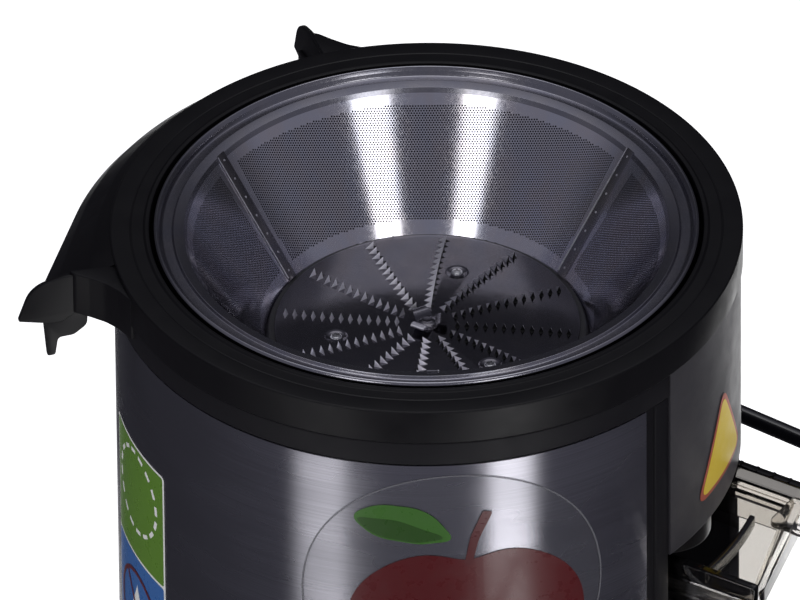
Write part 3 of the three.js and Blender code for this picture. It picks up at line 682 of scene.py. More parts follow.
def panel():
    low, high = PANEL_Z
    sheet = soften([(81.5, low, 0.1), (82.1, low, 0.2), (82.1, high, 0.2), (81.5, high, 0.1)], 0.1, 2)
    front = revolve("front_panel", sheet, PANEL_STEEL, arc=PANEL_ARC, steps=200)
    settle(front, "base", "brushed_steel", "steel_front_panel")


# ---- Strainer basket ----
def cone_spot(share):
    """Radius and height at a share of the way up the cone's inside."""
    return (CONE_BOTTOM[0] + (CONE_TOP[0] - CONE_BOTTOM[0]) * share,
            CONE_BOTTOM[1] + (CONE_TOP[1] - CONE_BOTTOM[1]) * share)


PITCH = 0.73  # between neighbouring holes
HOLE = 0.44  # across a hole
HOLED = (0.105, 0.872)  # the part of the slope with holes
SHEET_LAP = 0.95  # how far the sheets stop short of the cone's top, under the rim
DISH = 0.03  # how far the sheet's faces lean into each hole


def strainer_sheets():
    """Three sheets cut flat from perforated stock and rolled into the cone, each from seam to seam.
    A cell round each hole is a six-sided collar; cells in the plain margins are filled."""
    rise, run = CONE_TOP[1] - CONE_BOTTOM[1], CONE_TOP[0] - CONE_BOTTOM[0]
    slope = math.hypot(rise, run)
    lean, steep = run / slope, rise / slope
    near, far = CONE_BOTTOM[0] / lean, CONE_TOP[0] / lean  # from the cone's tip, along its slope
    corner = HOLE / 2 / math.cos(math.pi / 6)
    row_gap = PITCH * math.sqrt(3) / 2
    starts = sorted(a % 360 for a in SEAM_ANGLES)
    for number, start in enumerate(starts, 1):
        end = starts[number % 3] + (360 if number == 3 else 0)
        middle, half = math.radians((start + end) / 2), math.radians((end - start) / 2)
        flat_half = half * lean
        rows = range(int(near * math.cos(flat_half) / row_gap) - 1, int(far / row_gap) + 2)
        cells = {}
        for row in rows:
            columns = int(far * math.sin(flat_half) / PITCH) + 2
            for column in range(-columns, columns + 1):
                x = (column + 0.5 * (row % 2)) * PITCH
                y = row * row_gap
                reach, swing = math.hypot(x, y), math.atan2(x, y)
                if near - 0.2 < reach < far - SHEET_LAP and abs(swing) < flat_half:
                    cells[row, column] = (x, y, reach, swing)
        index = {key: i for i, key in enumerate(cells)}
        flat = []
        for x, y, _, _ in cells.values():
            for k in range(6):
                angle = math.radians(60 * k + 30)
                flat.append((x + corner * math.cos(angle), y + corner * math.sin(angle)))
        faces = []
        margin = 1.9 / 50  # radians beside each seam
        for key, (x, y, reach, swing) in cells.items():
            row, column = key
            base = index[key] * 6
            share = (reach - near) / (far - near)
            if not (HOLED[0] < share < HOLED[1] and abs(swing) < flat_half - margin):
                faces.append(tuple(base + k for k in range(6)))
            # Corners are counted from 30 degrees, so side k faces 60 k + 60 degrees.
            east = index.get((row, column + 1))
            shift = row % 2
            north_east = index.get((row + 1, column + shift))
            north_west = index.get((row + 1, column - 1 + shift))
            if east is not None:
                e = east * 6
                faces.append((base + 5, e + 3, e + 2, base + 0))
            if north_east is not None:
                e = north_east * 6
                faces.append((base + 0, e + 4, e + 3, base + 1))
            if north_west is not None:
                e = north_west * 6
                faces.append((base + 1, e + 5, e + 4, base + 2))
            if east is not None and north_east is not None:
                faces.append((base + 0, east * 6 + 2, north_east * 6 + 4))
            if north_east is not None and north_west is not None:
                faces.append((base + 1, north_east * 6 + 3, north_west * 6 + 5))
        points = np.array(flat)
        reach = np.hypot(points[:, 0], points[:, 1])
        swing = middle - np.arctan2(points[:, 0], points[:, 1]) / lean
        radius = reach * lean
        height = CONE_BOTTOM[1] + (reach - near) / slope * rise
        verts = np.stack([radius * np.cos(swing), radius * np.sin(swing), height], 1)
        obj = piece(f"strainer_sheet_{number}", verts.tolist(), faces, CONE_STEEL, sharp=180)
        cos, sin, ones = np.cos(swing), np.sin(swing), np.ones(len(swing))
        normals = np.stack([-cos * steep, -sin * steep, ones * lean], 1)
        spokes = np.radians(60 * (np.arange(len(points)) % 6) + 30)
        spokes = np.stack([np.cos(spokes), np.sin(spokes)], 1)
        up_slope = (spokes * points).sum(1) / reach
        around = (spokes[:, 0] * points[:, 1] - spokes[:, 1] * points[:, 0]) / reach
        upward = np.stack([cos * lean, sin * lean, ones * steep], 1)
        sideways = np.stack([sin, -cos, ones * 0], 1)
        share = (reach - near) / (far - near)
        holed = (share > HOLED[0]) & (share < HOLED[1])
        normals -= DISH * holed[:, None] * (upward * up_slope[:, None] + sideways * around[:, None])
        obj.data.normals_split_custom_set_from_vertices(normals.tolist())
        settle(obj, "spinner", "basket_steel", "filter_cone")


def seam_strips():
    """A plain strip welded over each joint of the sheets, with its spot welds and one raised edge."""
    rise, run = CONE_TOP[1] - CONE_BOTTOM[1], CONE_TOP[0] - CONE_BOTTOM[0]
    slope = math.hypot(rise, run)
    inward = Vector((-rise / slope, 0, run / slope))
    section = ((-1.45, 0.02), (-1.45, 0.32), (-1.15, 0.36), (1.4, 0.30), (1.4, 0.02))
    weld = [(0, -0.1), (0.34, -0.1), (0.30, 0.08), (0.16, 0.12), (0, 0.05)]
    for number, angle in enumerate(SEAM_ANGLES, 1):
        turn = spin(angle)
        parts, verts, faces = [], [], []
        count = 12
        for i in range(count + 1):
            radius, height = cone_spot(i / count * 0.985 + 0.005)
            for across, lift in section:
                spot = Vector((math.sqrt(radius ** 2 - across ** 2), across, height))
                verts.append(tuple(turn @ (spot + inward * lift)))
            if i:
                a, b = (i - 1) * 5, i * 5
                faces += [(a + k, b + k, b + (k + 1) % 5, a + (k + 1) % 5) for k in range(5)]
        faces += [(4, 3, 2, 1, 0), tuple(count * 5 + k for k in range(5))]
        parts.append(piece("strip", verts, faces, [STRIP_STEEL_SHADED], sharp=20))
        edge = []
        for share in (0.03, 0.5, 0.985):
            radius, height = cone_spot(share)
            edge.append(tuple(turn @ (Vector((radius - 0.1, 1.62, height)) + inward * 0.25)))
        parts.append(sweep("edge", edge, 0.17, TOOTH_STEEL, sides=8))
        for k in range(7):
            radius, height = cone_spot(0.07 + 0.145 * k)
            spot = turn @ (Vector((radius, 0, height)) + inward * 0.33)
            dot = revolve("weld", weld, TOOTH_STEEL, steps=12)
            facing = (turn @ inward).to_track_quat("Z", "Y").to_matrix().to_4x4()
            dot.data.transform(Matrix.Translation(-AXIS * MM))
            dot.data.transform(Matrix.Translation((spot + AXIS) * MM) @ facing)
            parts.append(dot)
        settle(merge(f"seam_strip_{number}", parts), "spinner", "basket_steel")


def rim():
    """The rolled rim: an outer bead, a hollow inside it, and a land that laps over the sheets' edge."""
    profile = soften([
        (62.82, 187.9, 0), (65.6, 187.9, 0.4), (67.4, 187.6, 0.6), (69.9, 187.5, 0.6), (70.7, 186.4, 0.3),
        (71.2, 186.2, 0.2), (71.6, 187.6, 0.5), (71.65, 190.4, 1.0), (70.75, 191.05, 0.7), (69.9, 190.0, 0.6),
        (69.3, 188.7, 0.6), (66.7, 188.75, 0.3), (66.3, 189.55, 0.25), (63.62, 189.05, 0.1),
    ], 0.3, 6)
    settle(revolve("basket_rim_bead", profile, RIM_STEEL_SHADED, steps=360), "spinner", "basket_steel", "basket_rim")
    teeth = 1080
    band = [(70.6, 184.6), (71.3, 184.6), (71.3, 186.6), (70.6, 186.6)]
    ribs = revolve("rim_knurl", band, RIM_STEEL_SHADED, steps=teeth, sharp=10,
                   wave=lambda i, r, z: 0.16 * (i % 2) if r > 71 else 0)
    settle(ribs, "spinner", "basket_steel")


# ---- Grater disc ----
TOOTH_ROWS, TEETH_PER_ROW = 12, 13
TOOTH_PITCH, TOOTH_R0, FIRST_ROW = 2.46, 8.0, 58.0
# A slim tooth over its own opening, the opening a flat black triangle of painted shade: x along the radius, y along
# the turning direction.
TOOTH = ((-0.66, -0.5, 0.0), (0.66, -0.5, 0.0), (0.0, 1.6, 0.0), (0.05, -0.75, 1.75),
         (-0.7, -0.5, 0.02), (0.7, -0.5, 0.02), (0.0, -1.75, 0.02))
RIVET_R, RIVET_ANGLES = 24.5, (103.0, 224.0, 344.0)


def grater():
    """The disc, dished under each rivet, with its punched teeth and the three folded drive tabs."""
    plate = soften([(0, DISC_Z - 0.8, 0), (DISC_R, DISC_Z - 0.8, 0.3), (DISC_R, DISC_Z, 0.5), (0, DISC_Z, 0)], 0.2)
    disc = revolve("grater_disc_plate", plate, DISC_STEEL_SHADED, steps=180)
    for angle in RIVET_ANGLES:
        x, y = polar(RIVET_R, angle)
        bowl = soften([(0, DISC_Z - 0.62, 0), (1.7, DISC_Z - 0.62, 0.6), (2.75, DISC_Z - 0.3, 0.5),
                       (3.15, DISC_Z + 0.01, 0), (3.15, DISC_Z + 1, 0), (0, DISC_Z + 1, 0)], 0.3)
        cut_away(disc, revolve("cut", bowl, DISC_STEEL_SHADED, steps=40, centre=(x, y)))
    disc.data.set_sharp_from_angle(angle=math.radians(14))
    settle(disc, "spinner", "disc_steel", "grater_disc")

    verts, faces, kinds = [], [], []
    for row in range(TOOTH_ROWS):
        for i in range(TEETH_PER_ROW):
            radius = TOOTH_R0 + i * TOOTH_PITCH
            angle = row * 360 / TOOTH_ROWS + FIRST_ROW - 0.25 * i
            turn = spin(angle)
            base = len(verts)
            verts += [tuple(turn @ Vector((radius + x, y, DISC_Z + z))) for x, y, z in TOOTH]
            # The fourth face is the tooth's opening, a black triangle of painted shade.
            for corners in ((0, 3, 2), (2, 3, 1), (0, 1, 3), (4, 6, 5)):
                faces.append(tuple(base + k for k in corners))
            kinds += [0, 0, 1, 1]
    teeth = piece("grater_teeth", verts, faces, [TOOTH_STEEL, DARK], face_materials=kinds, sharp=5)
    settle(teeth, "spinner", "disc_steel")

    tabs = []
    for lobe in range(3):
        turn = spin(30 + lobe * 120)
        verts, faces = [], []
        bend = 10
        for i in range(bend + 1):
            share = i / bend
            lift = 2.1 * math.sin(share * math.pi * 0.62)
            out = 1.0 + 4.2 * share
            for width, thick in ((-2.6, 0.0), (2.6, 0.0), (2.6, -0.4), (-2.6, -0.4)):
                across = width * (1 - 0.25 * share)
                verts.append(tuple(turn @ Vector((out, across, DISC_Z + 0.2 + lift + thick))))
            if i:
                a, b = (i - 1) * 4, i * 4
                faces += [(a + k, a + (k + 1) % 4, b + (k + 1) % 4, b + k) for k in range(4)]
        faces += [(3, 2, 1, 0), tuple(bend * 4 + k for k in range(4))]
        # One of the three tabs takes the brighter tooth steel instead of the disc's: a painted highlight.
        tabs.append(piece("tab", verts, faces, TOOTH_STEEL if lobe == 2 else DISC_STEEL_SHADED, sharp=25))
    hub = soften([(0, DISC_Z - 0.2, 0), (2.9, DISC_Z - 0.2, 0), (2.6, DISC_Z + 1.1, 0.4), (1.5, DISC_Z + 1.4, 0.3),
                  (0, DISC_Z + 1.0, 0)], 0.3)
    tabs.append(revolve("hub", hub, DISC_STEEL_SHADED, steps=36))
    settle(merge("drive_tabs", tabs), "spinner", "disc_steel")


def rivets():
    for number, angle in enumerate(RIVET_ANGLES, 1):
        x, y = polar(RIVET_R, angle)
        head = soften([(0, DISC_Z - 0.7, 0), (1.55, DISC_Z - 0.7, 0.1), (1.6, DISC_Z + 0.1, 0.35),
                       (1.1, DISC_Z + 0.42, 0.3), (0, DISC_Z + 0.46, 0)], 0.2)
        rivet = revolve(f"disc_rivet_head_{number}", head, GROUND, steps=36, centre=(x, y))
        for turn in (20, 110):
            place = Matrix.Translation((x, y, 0)) @ spin(turn + angle)
            groove = [(-1.0, -0.22), (1.0, -0.22), (1.0, 0.22), (-1.0, 0.22)]
            cut_away(rivet, prism("cut", groove, DISC_Z + 0.05, DISC_Z + 2, GROUND, turn=place))
        settle(rivet, "spinner", "rivet_steel", f"disc_rivet_{number}")


def basket_carrier():
    profile = soften([(0, 153.2, 0), (9.8, 153.2, 0), (9.8, 134, 0), (11.3, 134, 0.3), (11.3, 152, 1), (14, 153, 1),
                      (43, 153, 0.8), (43.2, 156.4, 0.6), (41.6, DISC_Z - 0.9, 0.2), (0, DISC_Z - 0.9, 0)], 0.2)
    settle(revolve("basket_carrier", profile, CARRIER, steps=160), "spinner", "carrier_plastic", "basket_base")


# ---- Bail ----
def bail():
    reach, bend = 135.0, 14.0
    pivot = (0, PIVOT_Z)
    droop = spin(4, "Y")
    path = []
    corner_steps = 14
    for k in range(9):
        path.append((6 + (reach - bend - 6) * k / 9, -ARM_Y, 0))
    for k in range(corner_steps + 1):
        a = math.radians(-90 + 90 * k / corner_steps)
        path.append((reach - bend + bend * math.cos(a), bend - ARM_Y + bend * math.sin(a), 0))
    half = len(path)
    path += [(reach, y, 0) for y in (-50, -25, 0, 25, 50)]
    path += [(x, -y, z) for x, y, z in reversed(path[:half])]
    rod = [tuple(droop @ Vector(p) + Vector((0, 0, PIVOT_Z))) for p in path]
    parts = [sweep("rod", rod, ROD_R, LACQUER, sides=28)]
    for side in (-1, 1):
        eye = soften([(3.2, 85.7, 0.2), (6.4, 85.7, 0.8), (6.4, 90.3, 0.8), (3.2, 90.3, 0.2)], 0.3, 5)
        parts.append(revolve("eye", eye, LACQUER, steps=48, centre=pivot, along=side))
    settle(merge("bail_handle", parts), "bail", "bail_lacquer", "bail_rod")
    for number, side in enumerate((-1, 1), 1):
        pin = soften([(0, 78, 0), (2.9, 78, 0), (2.9, 90.6, 0), (5.4, 90.6, 0.3), (4.6, 91.8, 0.9),
                      (0, 92, 0)], 0.3, 5)
        turned = revolve(f"bail_pin_head_{number}", pin, PLATED, steps=48, centre=pivot, along=side)
        settle(turned, "base", "zinc_steel", f"bail_pin_{number}")
        pad = soften([(0, 76, 0), (8, 76, 0), (8, 85.2, 0.5), (0, 85.2, 0)], 0.4)
        parts = [revolve("pad", pad, HOUSING, steps=64, centre=pivot, along=side)]
        y0, y1 = (-90.4, -77) if side < 0 else (77, 90.4)
        plan = [(9, y0), (15, y0), (15, y1), (9, y1)]
        parts.append(prism("lug", plan, PIVOT_Z - 9.5, PIVOT_Z - 3.6, HOUSING, bevel=0.6))
        settle(merge(f"bail_pad_{number}", parts), "base", "housing_plastic")


# ---- Jug and lid ----
def jug_plan(inset):
    near, far = JUG_Y[0] + inset, JUG_Y[1] - inset
    corners = [(45 + inset, near), (106.5 - inset, near), (94.5 - inset, far), (45 + inset, far)]
    return soften(corners, max(2.0, 7 - inset), 8)


def plan_sweep(name, profile, materials, open_profile):
    """Rings of the jug's plan at each [inset, height], joined. An open profile has its first and
    last ring filled, and any other is joined from the last ring to the first."""
    verts, faces = [], []
    n = len(jug_plan(0))
    for inset, z in profile:
        verts += [(x, y, z) for x, y in jug_plan(inset)]
    count = len(profile)
    for i in range(count - 1 if open_profile else count):
        a, b = i * n, (i + 1) % count * n
        faces += [(a + k, a + (k + 1) % n, b + (k + 1) % n, b + k) for k in range(n)]
    if open_profile:
        faces += [tuple(reversed(range(n))), tuple((count - 1) * n + k for k in range(n))]
    return piece(name, verts, faces, materials)


def jug():
    outer = [(3.2, 0), (1.6, 0.5), (0.8, 1.8), (0.6, 4), (0.6, 103.2), (0.2, 103.8), (0.1, 104.6),
             (0.1, 106.9), (0.7, 107.5)]
    inner = [(2.2, 107.4), (2.6, 106.8), (2.6, 6), (3.4, 3.6), (5.5, 2.6)]
    settle(plan_sweep("jug_body", outer + inner, JUG_CLEAR, True), "jug", "jug_clear", "jug")


def jug_lid():
    top = 113
    rim = [(0.0, 107.8), (0.0, 112.5), (0.6, 113.0), (2.6, 113.0), (2.8, 112.2), (2.8, 108.2),
           (2.2, 107.8)]
    lip = [(3.0, 102.6), (3.0, 111.0), (4.6, 111.0), (4.6, 103.0), (4.2, 102.6)]
    parts = [plan_sweep(name, ring, LID_SMOKE, False) for name, ring in (("rim", rim), ("lip", lip))]
    plate = prism("plate", jug_plan(2.2), 111.2, top, LID_PLATE, bevel=0.2)
    inlet = soften([(58, -5), (84, -5), (88.5, 2), (88.5, 12), (86, 19), (58, 19)], 5, 8)
    parts.append(cut_away(plate, prism("cut", inlet, 110, 115, LID_PLATE)))
    # The two rails that hang on the drum's recess, ribbed on top.
    for y0, y1, x1 in ((JUG_Y[0], JUG_Y[0] + 2.8, 106.2), (JUG_Y[1] - 2.8, JUG_Y[1], 94.8)):
        rail = soften([(46, y0, 0.8), (x1, y0, 2.2), (x1, y1, 1.0), (46, y1, 0.8)], 1)
        parts.append(prism("rail", rail, top, 118, LID_RAIL_SHADED, bevel=0.5, steps=3))
        for x in range(49, int(x1) - 2, 5):
            rib = [(x, y0 + 0.5), (x + 0.7, y0 + 0.5), (x + 0.7, y1 - 0.5), (x, y1 - 0.5)]
            parts.append(prism("rib", rib, 117.8, 118.35, LID_RAIL_SHADED))
    line = [(46, 33.2), (93, 33.2), (93, 33.5), (46, 33.5)]
    parts.append(prism("line", line, top, top + 0.25, LID_SMOKE))
    tab = soften([(91, 22.5), (111.3, 22.5), (111.3, 35.8), (91, 35.8)], 2)
    parts.append(prism("tab", tab, 112.5, 114.3, LID_SMOKE, bevel=0.3))
    settle(merge("jug_lid_shell", parts), "jug", "lid_smoke", "jug_lid")
    # A curved rib along the inlet's outer edge, in gloss black though it belongs to the clear lid: painted shade.
    crescent = soften([(89, 112.6), (90.6, 112.6), (90.6, 116.2, 0.5), (89, 116.2, 0.5)], 0.2)
    dark = revolve("inlet_rib_painted_shade", crescent, DIAL, arc=(-4.5, 13), steps=30)
    settle(dark, "jug", "lid_smoke")


# ---- Controls, feet, gland ----
def controls():
    middle = (0, KNOB_Z)
    bezel = soften([(4.3, 66, 0), (25.5, 66, 0), (25.5, 84.8, 0.6), (24.6, 85.6, 0.6),
                    (23.6, 85.6, 0.3), (23.1, 83.4, 0.4), (4.3, 83.2, 0)], 0.3, 5)
    ring = revolve("dial_ring", bezel, DIAL, steps=96, centre=middle, along=-1)
    settle(ring, "base", "dial_gloss", "dial_bezel")
    turned = soften([(0, 63, 0), (3.6, 63, 0), (3.6, 84.2, 0), (22, 84.2, 0.6), (22, 89.6, 1.0),
                     (19.6, 92, 1.6), (0, 92.2, 0)], 0.4, 6)
    parts = [revolve("turned", turned, KNOB, steps=96, centre=middle, along=-1)]
    grip = soften([(-4.5, -19), (4.5, -19), (4.5, 19), (-4.5, 19)], 4.2, 8)
    stand = Matrix.Translation((0, 0, KNOB_Z)) @ spin(90, "X")
    parts.append(prism("grip", grip, 91, 101, KNOB, bevel=1.2, turn=stand, steps=4))
    mark = soften([(-0.7, 9), (0.7, 9), (0.7, 17), (-0.7, 17)], 0.5)
    parts.append(prism("mark", mark, 100.9, 101.06, DIAL_MARKS, turn=stand))
    settle(merge("speed_knob_grip", parts), "knob", "knob_plastic", "speed_knob")
    ticks = []
    for k, turn in enumerate((45, 22.5, 0, -22.5, -45, -67.5, -90)):
        end = 29 if k % 2 else 30.6
        cos, sin = math.cos(math.radians(turn)), math.sin(math.radians(turn))
        ticks.append([(x * cos + y * sin, y * cos - x * sin)
                      for x, y in ((-0.35, 27.2), (0.35, 27.2), (0.35, end), (-0.35, end))])
    settle(film("dial_marks", ticks, -90, KNOB_Z, MARKS_R, DIAL_MARKS), "base", "dial_gloss")


def numerals():
    """Speed numbers beside the dial."""
    outlines = []
    for text, turn in (("P", 45), ("0", 0), ("1", -45), ("2", -90)):
        curve = bpy.data.curves.new("numeral", "FONT")
        curve.body, curve.size = text, 6.0
        curve.align_x, curve.align_y = "CENTER", "CENTER"
        obj = add_object("numeral", curve)
        graph = bpy.context.evaluated_depsgraph_get()
        mesh = bpy.data.meshes.new_from_object(obj.evaluated_get(graph))
        angle = math.radians(turn)
        cx, cy = 34.5 * math.sin(angle), 34.5 * math.cos(angle)
        spots = [(v.co.x + cx, v.co.y + cy) for v in mesh.vertices]
        outlines += [[spots[i] for i in p.vertices] for p in mesh.polygons if p.area > 1e-6]
        bpy.data.objects.remove(obj)
    settle(film("dial_numbers", outlines, -90, KNOB_Z, MARKS_R, DIAL_MARKS), "base", "dial_gloss")


def feet():
    for number, angle in enumerate((55, 125, 235, 305), 1):
        profile = soften([(0, 0, 0), (4.5, 0, 0), (5, 0.5, 0.3), (6, 0.5, 0.3), (6.5, 0, 0.3),
                          (7.2, 0, 0.5), (8, 1.2, 0.8), (8, 5.7, 0.2), (0, 5.7, 0)], 0.3)
        foot = revolve(f"rubber_foot_{number}", profile, RUBBER, steps=48, centre=polar(62, angle))
        settle(foot, "base", "rubber", f"foot_{number}")


def gland():
    profile = soften([(3.8, 74, 0), (6, 74, 0), (6, 80.2, 0), (9, 81.4, 0.6), (9, 83, 0.8),
                      (7.4, 85.5, 0.8), (3.8, 85.5, 0.4)], 0.3, 5)
    obj = revolve("gland_bush", profile, RUBBER, steps=48, centre=(-22, 24), along=1)
    settle(obj, "base", "rubber", "cord_gland")


# ---- Stickers ----
def circle(radius, steps):
    turns = [2 * math.pi * k / steps for k in range(steps)]
    return [(radius * math.cos(t), radius * math.sin(t)) for t in turns]


def arc_band(inner, outer, start, end, centre=(0, 0), steps=10):
    spots = [start + (end - start) * k / steps for k in range(steps + 1)]
    out = [polar(outer, a) for a in spots]
    back = [polar(inner, a) for a in reversed(spots)]
    return [(x + centre[0], y + centre[1]) for x, y in out + back]


def badge():
    """A round clear film with a fruit of plain design: a two-lobed body, a stem and a leaf."""
    angle, z = -53.5, 128.0

    def layer(name, outlines, lift, material, *nodes):
        settle(film(name, outlines, angle, z, STICKER_R + lift, material), "base", "badge_film", *nodes)

    layer("badge_film", [circle(41, 96)], 0, FILM, "front_badge")
    body = []
    for k in range(80):
        a = 2 * math.pi * k / 80
        shoulder = 1 + 0.07 * math.cos(2 * a) - 0.14 * math.exp(-((math.degrees(a) - 90) / 17) ** 2)
        taper = 1 + 0.05 * math.sin(a)
        body.append((3.5 + 30 * shoulder * taper * math.cos(a), -9.0 + 28.5 * shoulder * math.sin(a)))
    layer("badge_fruit", [body], INK_LIFT, FRUIT_RED)
    stem = soften([(2.6, 12), (4.6, 11.6), (6.5, 20, 12), (10.2, 28.3), (7.6, 28.8), (4.3, 21, 12)], 0.6, 6)
    layer("badge_stem", [stem], 0.12, FRUIT_DARK)
    leaf = soften([(-28, 27), (-20, 31.6, 12), (-7, 30.6, 14), (0.5, 20, 2), (-9, 19, 10), (-21, 20.8, 12)], 4, 8)
    layer("badge_leaf", [leaf], 0.12, LEAF_GREEN)
    fold = soften([(-27, 26.8), (-15, 26.6, 14), (-1, 20.8, 2), (-10, 19.5, 10), (-21, 21.2, 12)], 2, 8)
    layer("badge_leaf_shade", [fold], 0.17, LEAF_DARK)
    # The film's real cut edge, drawn as a grey ring at far higher haze: a painted sheen.
    edge = [arc_band(40.55, 41.0, a, a + 90, steps=24) for a in (0, 90, 180, 270)]
    layer("badge_film_edge", edge, INK_LIFT, FILM_EDGE_SHEEN)


def info_label():
    """A two-colour label: a dashed ring on green over a drop in a ring on blue."""
    angle, z = -127.0, RING_Z - 85.4
    half_w, half_h = 16.6, 36.4

    def layer(name, outlines, lift, material, *nodes):
        settle(film(name, outlines, angle, z, STICKER_R + lift, material), "base", "info_print", *nodes)

    paper = soften([(-half_w, -half_h), (half_w, -half_h), (half_w, half_h), (-half_w, half_h)], 1.5)
    layer("label_paper", [paper], 0, INK_WHITE, "info_label")
    inset = 0.7
    green = soften([(-half_w + inset, 0.4), (half_w - inset, 0.4), (half_w - inset, half_h - inset),
                    (-half_w + inset, half_h - inset)], 1)
    layer("label_green", [green], INK_LIFT, INK_GREEN)
    blue = [(x, -y) for x, y in reversed(green)]
    layer("label_blue", [blue], INK_LIFT, INK_BLUE)
    dashes = [arc_band(11.9, 13.1, 22.5 * k, 22.5 * k + 13, (0, 21.5), 3) for k in range(16)]
    layer("label_dashes", dashes, 0.11, INK_WHITE)
    turns = [2 * math.pi * k / 40 for k in range(40)]
    drop = [(7 * math.sin(t) * math.sin(t / 2) ** 1.6, -18.2 + 9.0 * math.cos(t)) for t in turns]
    layer("label_drop", [drop[::-1]], 0.11, INK_WHITE)
    ring = [arc_band(12.0, 13.2, a, a + 90, (0, -18.2)) for a in (0, 90, 180, 270)]
    flat = ((-12.3, -0.5), (12.3, -0.5), (12.3, 0.5), (-12.3, 0.5))
    bar = [(x * 0.6 - y * 0.8, x * 0.8 + y * 0.6 - 18.2) for x, y in flat]
    layer("label_ring", ring, 0.17, INK_MAROON)
    layer("label_bar", [[(-x, y) for x, y in reversed(bar)]], 0.17, INK_MAROON)


def caution_label():
    """A plain yellow triangle with a rust border."""
    angle, z, radius = 11.5, RING_Z - 47, 82.65
    corners = [(16.5, -13.6), (0, 15), (-16.5, -13.6)]
    border = film("triangle_border", [soften(corners, 3.2, 8)], angle, z, radius, INK_RUST)
    settle(border, "base", "warning_print", "warning_label")
    middle = Vector((sum(x for x, _ in corners) / 3, sum(y for _, y in corners) / 3))
    inner = [tuple(middle + (Vector(c) - middle) * 0.87) for c in corners]
    face = film("triangle_face", [soften(inner, 2.4, 8)], angle, z, radius + INK_LIFT, INK_YELLOW)
    settle(face, "base", "warning_print")


# ---- Carried-over frame nodes ----
CARRIED = {
    "base_plate": BASE, "drive_coupling": NYLON, "cooling_fan": NYLON, "speed_switch": NYLON, "motor_shaft": GROUND,
    "lower_bearing": GROUND, "upper_bearing": GROUND, "stator_core": LAMINATION, "rotor_core": LAMINATION,
    "field_coil": COPPER, "commutator": COPPER, "lower_motor_bracket": BRACKET, "upper_motor_bracket": BRACKET,
    "interlock_switch": BRACKET, "motor_bolt": PLATED, "mounting_screw": PLATED, "base_screw": PLATED,
    "rubber_bush": RUBBER, "shaft_seal": RUBBER, "brush_holder": BRASS, "carbon_brush": CARBON,
    "supply_wires": SLEEVE, "suppression_capacitor": CASE_YELLOW,
}


def carried_nodes():
    """A procedural material and smooth round faces on every node that stays as it is."""
    for name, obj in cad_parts.items():
        stem = name.rstrip("0123456789").rstrip("_")
        material = CARRIED.get(name) or CARRIED.get(stem)
        if material is None:
            continue
        obj.data.materials.clear()
        obj.data.materials.append(material)
        smooth(obj.data)


# ---- Stage ----
def floor():
    """A pale sweep under the object. Shiny surfaces see the studio through it."""
    size, drop = 12.0, -0.0003
    corners = ((-size, -size), (size, -size), (size, size), (-size, size))
    mesh = bpy.data.meshes.new("floor")
    mesh.from_pydata([(x, y, drop) for x, y in corners], [], [(0, 1, 2, 3)])
    m = Nodes("floor_paper")
    tone = m.blend(m.noise(m.spots(), 0.01, 2), (0.86, 0.86, 0.86), (0.90, 0.90, 0.90))
    m.set(Base_Color=tone, Roughness=0.9, Emission_Color=(1.0, 1.0, 1.0), Emission_Strength=1.0)
    mesh.materials.append(m.material)
    obj = add_object("floor", mesh)
    obj.visible_glossy = False


def lamp(name, azimuth, elevation, distance, width, height, radiance):
    """A soft box that faces the basket."""
    data = bpy.data.lights.new(name, "AREA")
    data.shape = "RECTANGLE"
    data.size, data.size_y = width, height
    data.energy = radiance * width * height * math.pi
    obj = add_object(name, data)
    towards = direction(azimuth, elevation)
    target = Vector((AXIS.x * MM, AXIS.y * MM, RING_Z * MM))
    obj.location = target + towards * distance
    obj.rotation_euler = towards.to_track_quat("Z", "Y").to_euler()


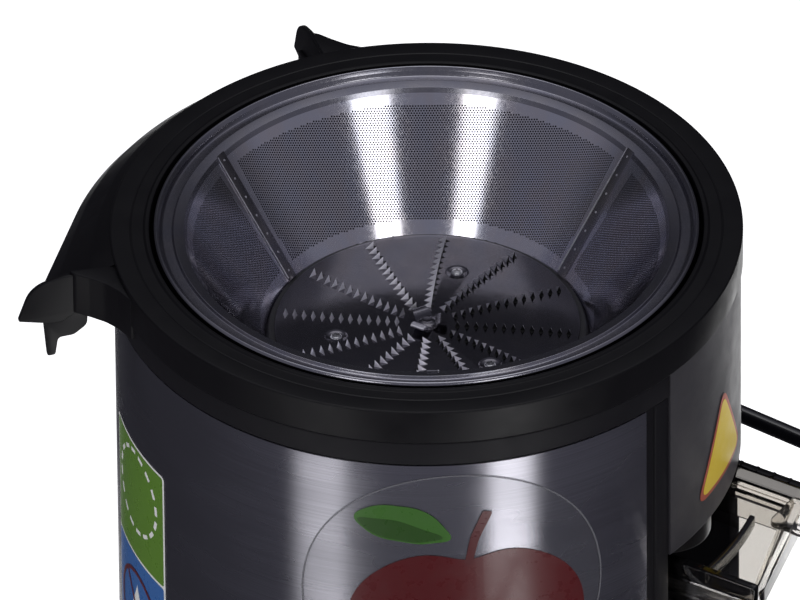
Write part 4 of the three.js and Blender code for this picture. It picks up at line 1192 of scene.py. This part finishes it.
def lights():
    lamp("soft_box_right", CAMERA_AZIMUTH + 27, 33, 1.6, 0.42, 0.60, 2.3)
    lamp("soft_box_left", CAMERA_AZIMUTH - 28, 33, 0.55, 0.13, 0.20, 2.3)
    lamp("top_box", CAMERA_AZIMUTH + 180, 80, 1.8, 1.2, 1.0, 0.8)
    world = bpy.data.worlds.new("studio")
    bpy.context.scene.world = world
    world.use_nodes = True
    tree = world.node_tree
    background = next(n for n in tree.nodes if n.type == "BACKGROUND")
    where = tree.nodes.new("ShaderNodeTexCoord")

    def maths(operation, first, second=None):
        node = tree.nodes.new("ShaderNodeMath")
        node.operation = operation
        tree.links.new(first, node.inputs[0])
        if isinstance(second, bpy.types.NodeSocket):
            tree.links.new(second, node.inputs[1])
        elif second is not None:
            node.inputs[1].default_value = second
        return node.outputs[0]

    def fade(value, start, end):
        """0 at start and beyond, 1 at end and beyond."""
        node = tree.nodes.new("ShaderNodeMapRange")
        tree.links.new(value, node.inputs[0])
        node.inputs[1].default_value, node.inputs[2].default_value = start, end
        return node.outputs[0]

    def facing(azimuth, elevation):
        """How near a direction is to one azimuth and elevation: the cosine between them."""
        node = tree.nodes.new("ShaderNodeVectorMath")
        node.operation = "DOT_PRODUCT"
        node.inputs[1].default_value = direction(azimuth, elevation)
        tree.links.new(where.outputs["Generated"], node.inputs[0])
        return node.outputs["Value"]

    def band(azimuth, elevation, *stops):
        """Colours by how near a direction is to one azimuth and elevation."""
        ramp = tree.nodes.new("ShaderNodeValToRGB")
        for stop, (place, colour) in zip(ramp.color_ramp.elements, stops):
            stop.position, stop.color = place, (*colour, 1)
        tree.links.new(facing(azimuth, elevation), ramp.inputs[0])
        return ramp.outputs[0]

    def stripe(azimuth, half_width, radiance):
        """An upright band of light below the horizon: what the white sweep sends up between dark flags."""
        front, side = facing(azimuth, 0), facing(azimuth + 90, 0)
        slant = maths("DIVIDE", side, front)
        edge = math.tan(math.radians(half_width))
        inside = fade(maths("ABSOLUTE", slant), edge * 1.25, edge * 0.75)
        ahead = fade(front, 0.0, 0.05)
        height = tree.nodes.new("ShaderNodeSeparateXYZ")
        tree.links.new(where.outputs["Generated"], height.inputs[0])
        low = fade(height.outputs["Z"], -0.02, -0.25)
        share = maths("MULTIPLY", maths("MULTIPLY", inside, ahead), low)
        return maths("MULTIPLY", share, radiance)

    # A grey room in front, dark above and behind, and the white sweep low down round the object.
    black = (0.0, 0.0, 0.0)
    total = band(CAMERA_AZIMUTH, 58, (0.0, (0.036, 0.036, 0.043)), (0.36, (0.145, 0.145, 0.175)))
    glow = band(CAMERA_AZIMUTH + 167, -36, (0.90, black), (0.96, (1.0, 1.0, 1.0)))
    glow = maths("MULTIPLY", glow, 2.2)
    zenith = band(CAMERA_AZIMUTH + 180, 78, (0.80, black), (0.93, (0.22, 0.22, 0.24)))
    left, right = stripe(CAMERA_AZIMUTH - 38, 8.5, 1.25), stripe(CAMERA_AZIMUTH + 29, 7.5, 2.9)
    for light in (glow, zenith, left, right):
        summed = tree.nodes.new("ShaderNodeVectorMath")
        tree.links.new(total, summed.inputs[0])
        tree.links.new(light, summed.inputs[1])
        total = summed.outputs[0]
    tree.links.new(total, background.inputs["Color"])
    background.inputs["Strength"].default_value = 1.0


def camera():
    data = bpy.data.cameras.new("camera")
    data.lens, data.sensor_width = CAMERA_LENS, 36
    data.clip_end = 100
    obj = add_object("camera", data)
    towards = direction(CAMERA_AZIMUTH, CAMERA_ELEVATION)
    a, e = math.radians(CAMERA_AZIMUTH), math.radians(CAMERA_ELEVATION)
    right = Vector((math.cos(a), math.sin(a), 0))
    up = Vector((-math.sin(a) * math.sin(e), math.cos(a) * math.sin(e), math.cos(e)))
    ring_top = Vector((AXIS.x, AXIS.y, RING_Z)) * MM
    target = ring_top - right * CAMERA_SHIFT[0] * MM - up * CAMERA_SHIFT[1] * MM
    obj.location = target + towards * CAMERA_DISTANCE
    roll = spin(CAMERA_ROLL, towards)
    turned = roll @ towards.to_track_quat("Z", "Y").to_matrix().to_4x4()
    obj.rotation_mode = "QUATERNION"
    obj.rotation_quaternion = turned.to_quaternion()
    bpy.context.scene.camera = obj
    bpy.context.scene.view_settings.view_transform = "Standard"


for build in (camera, collector, fins, housing, panel, strainer_sheets, seam_strips, rim, grater,
              rivets, basket_carrier, bail, jug, jug_lid, controls, numerals, feet, gland, badge,
              info_label, caution_label, carried_nodes, floor, lights):
    build()
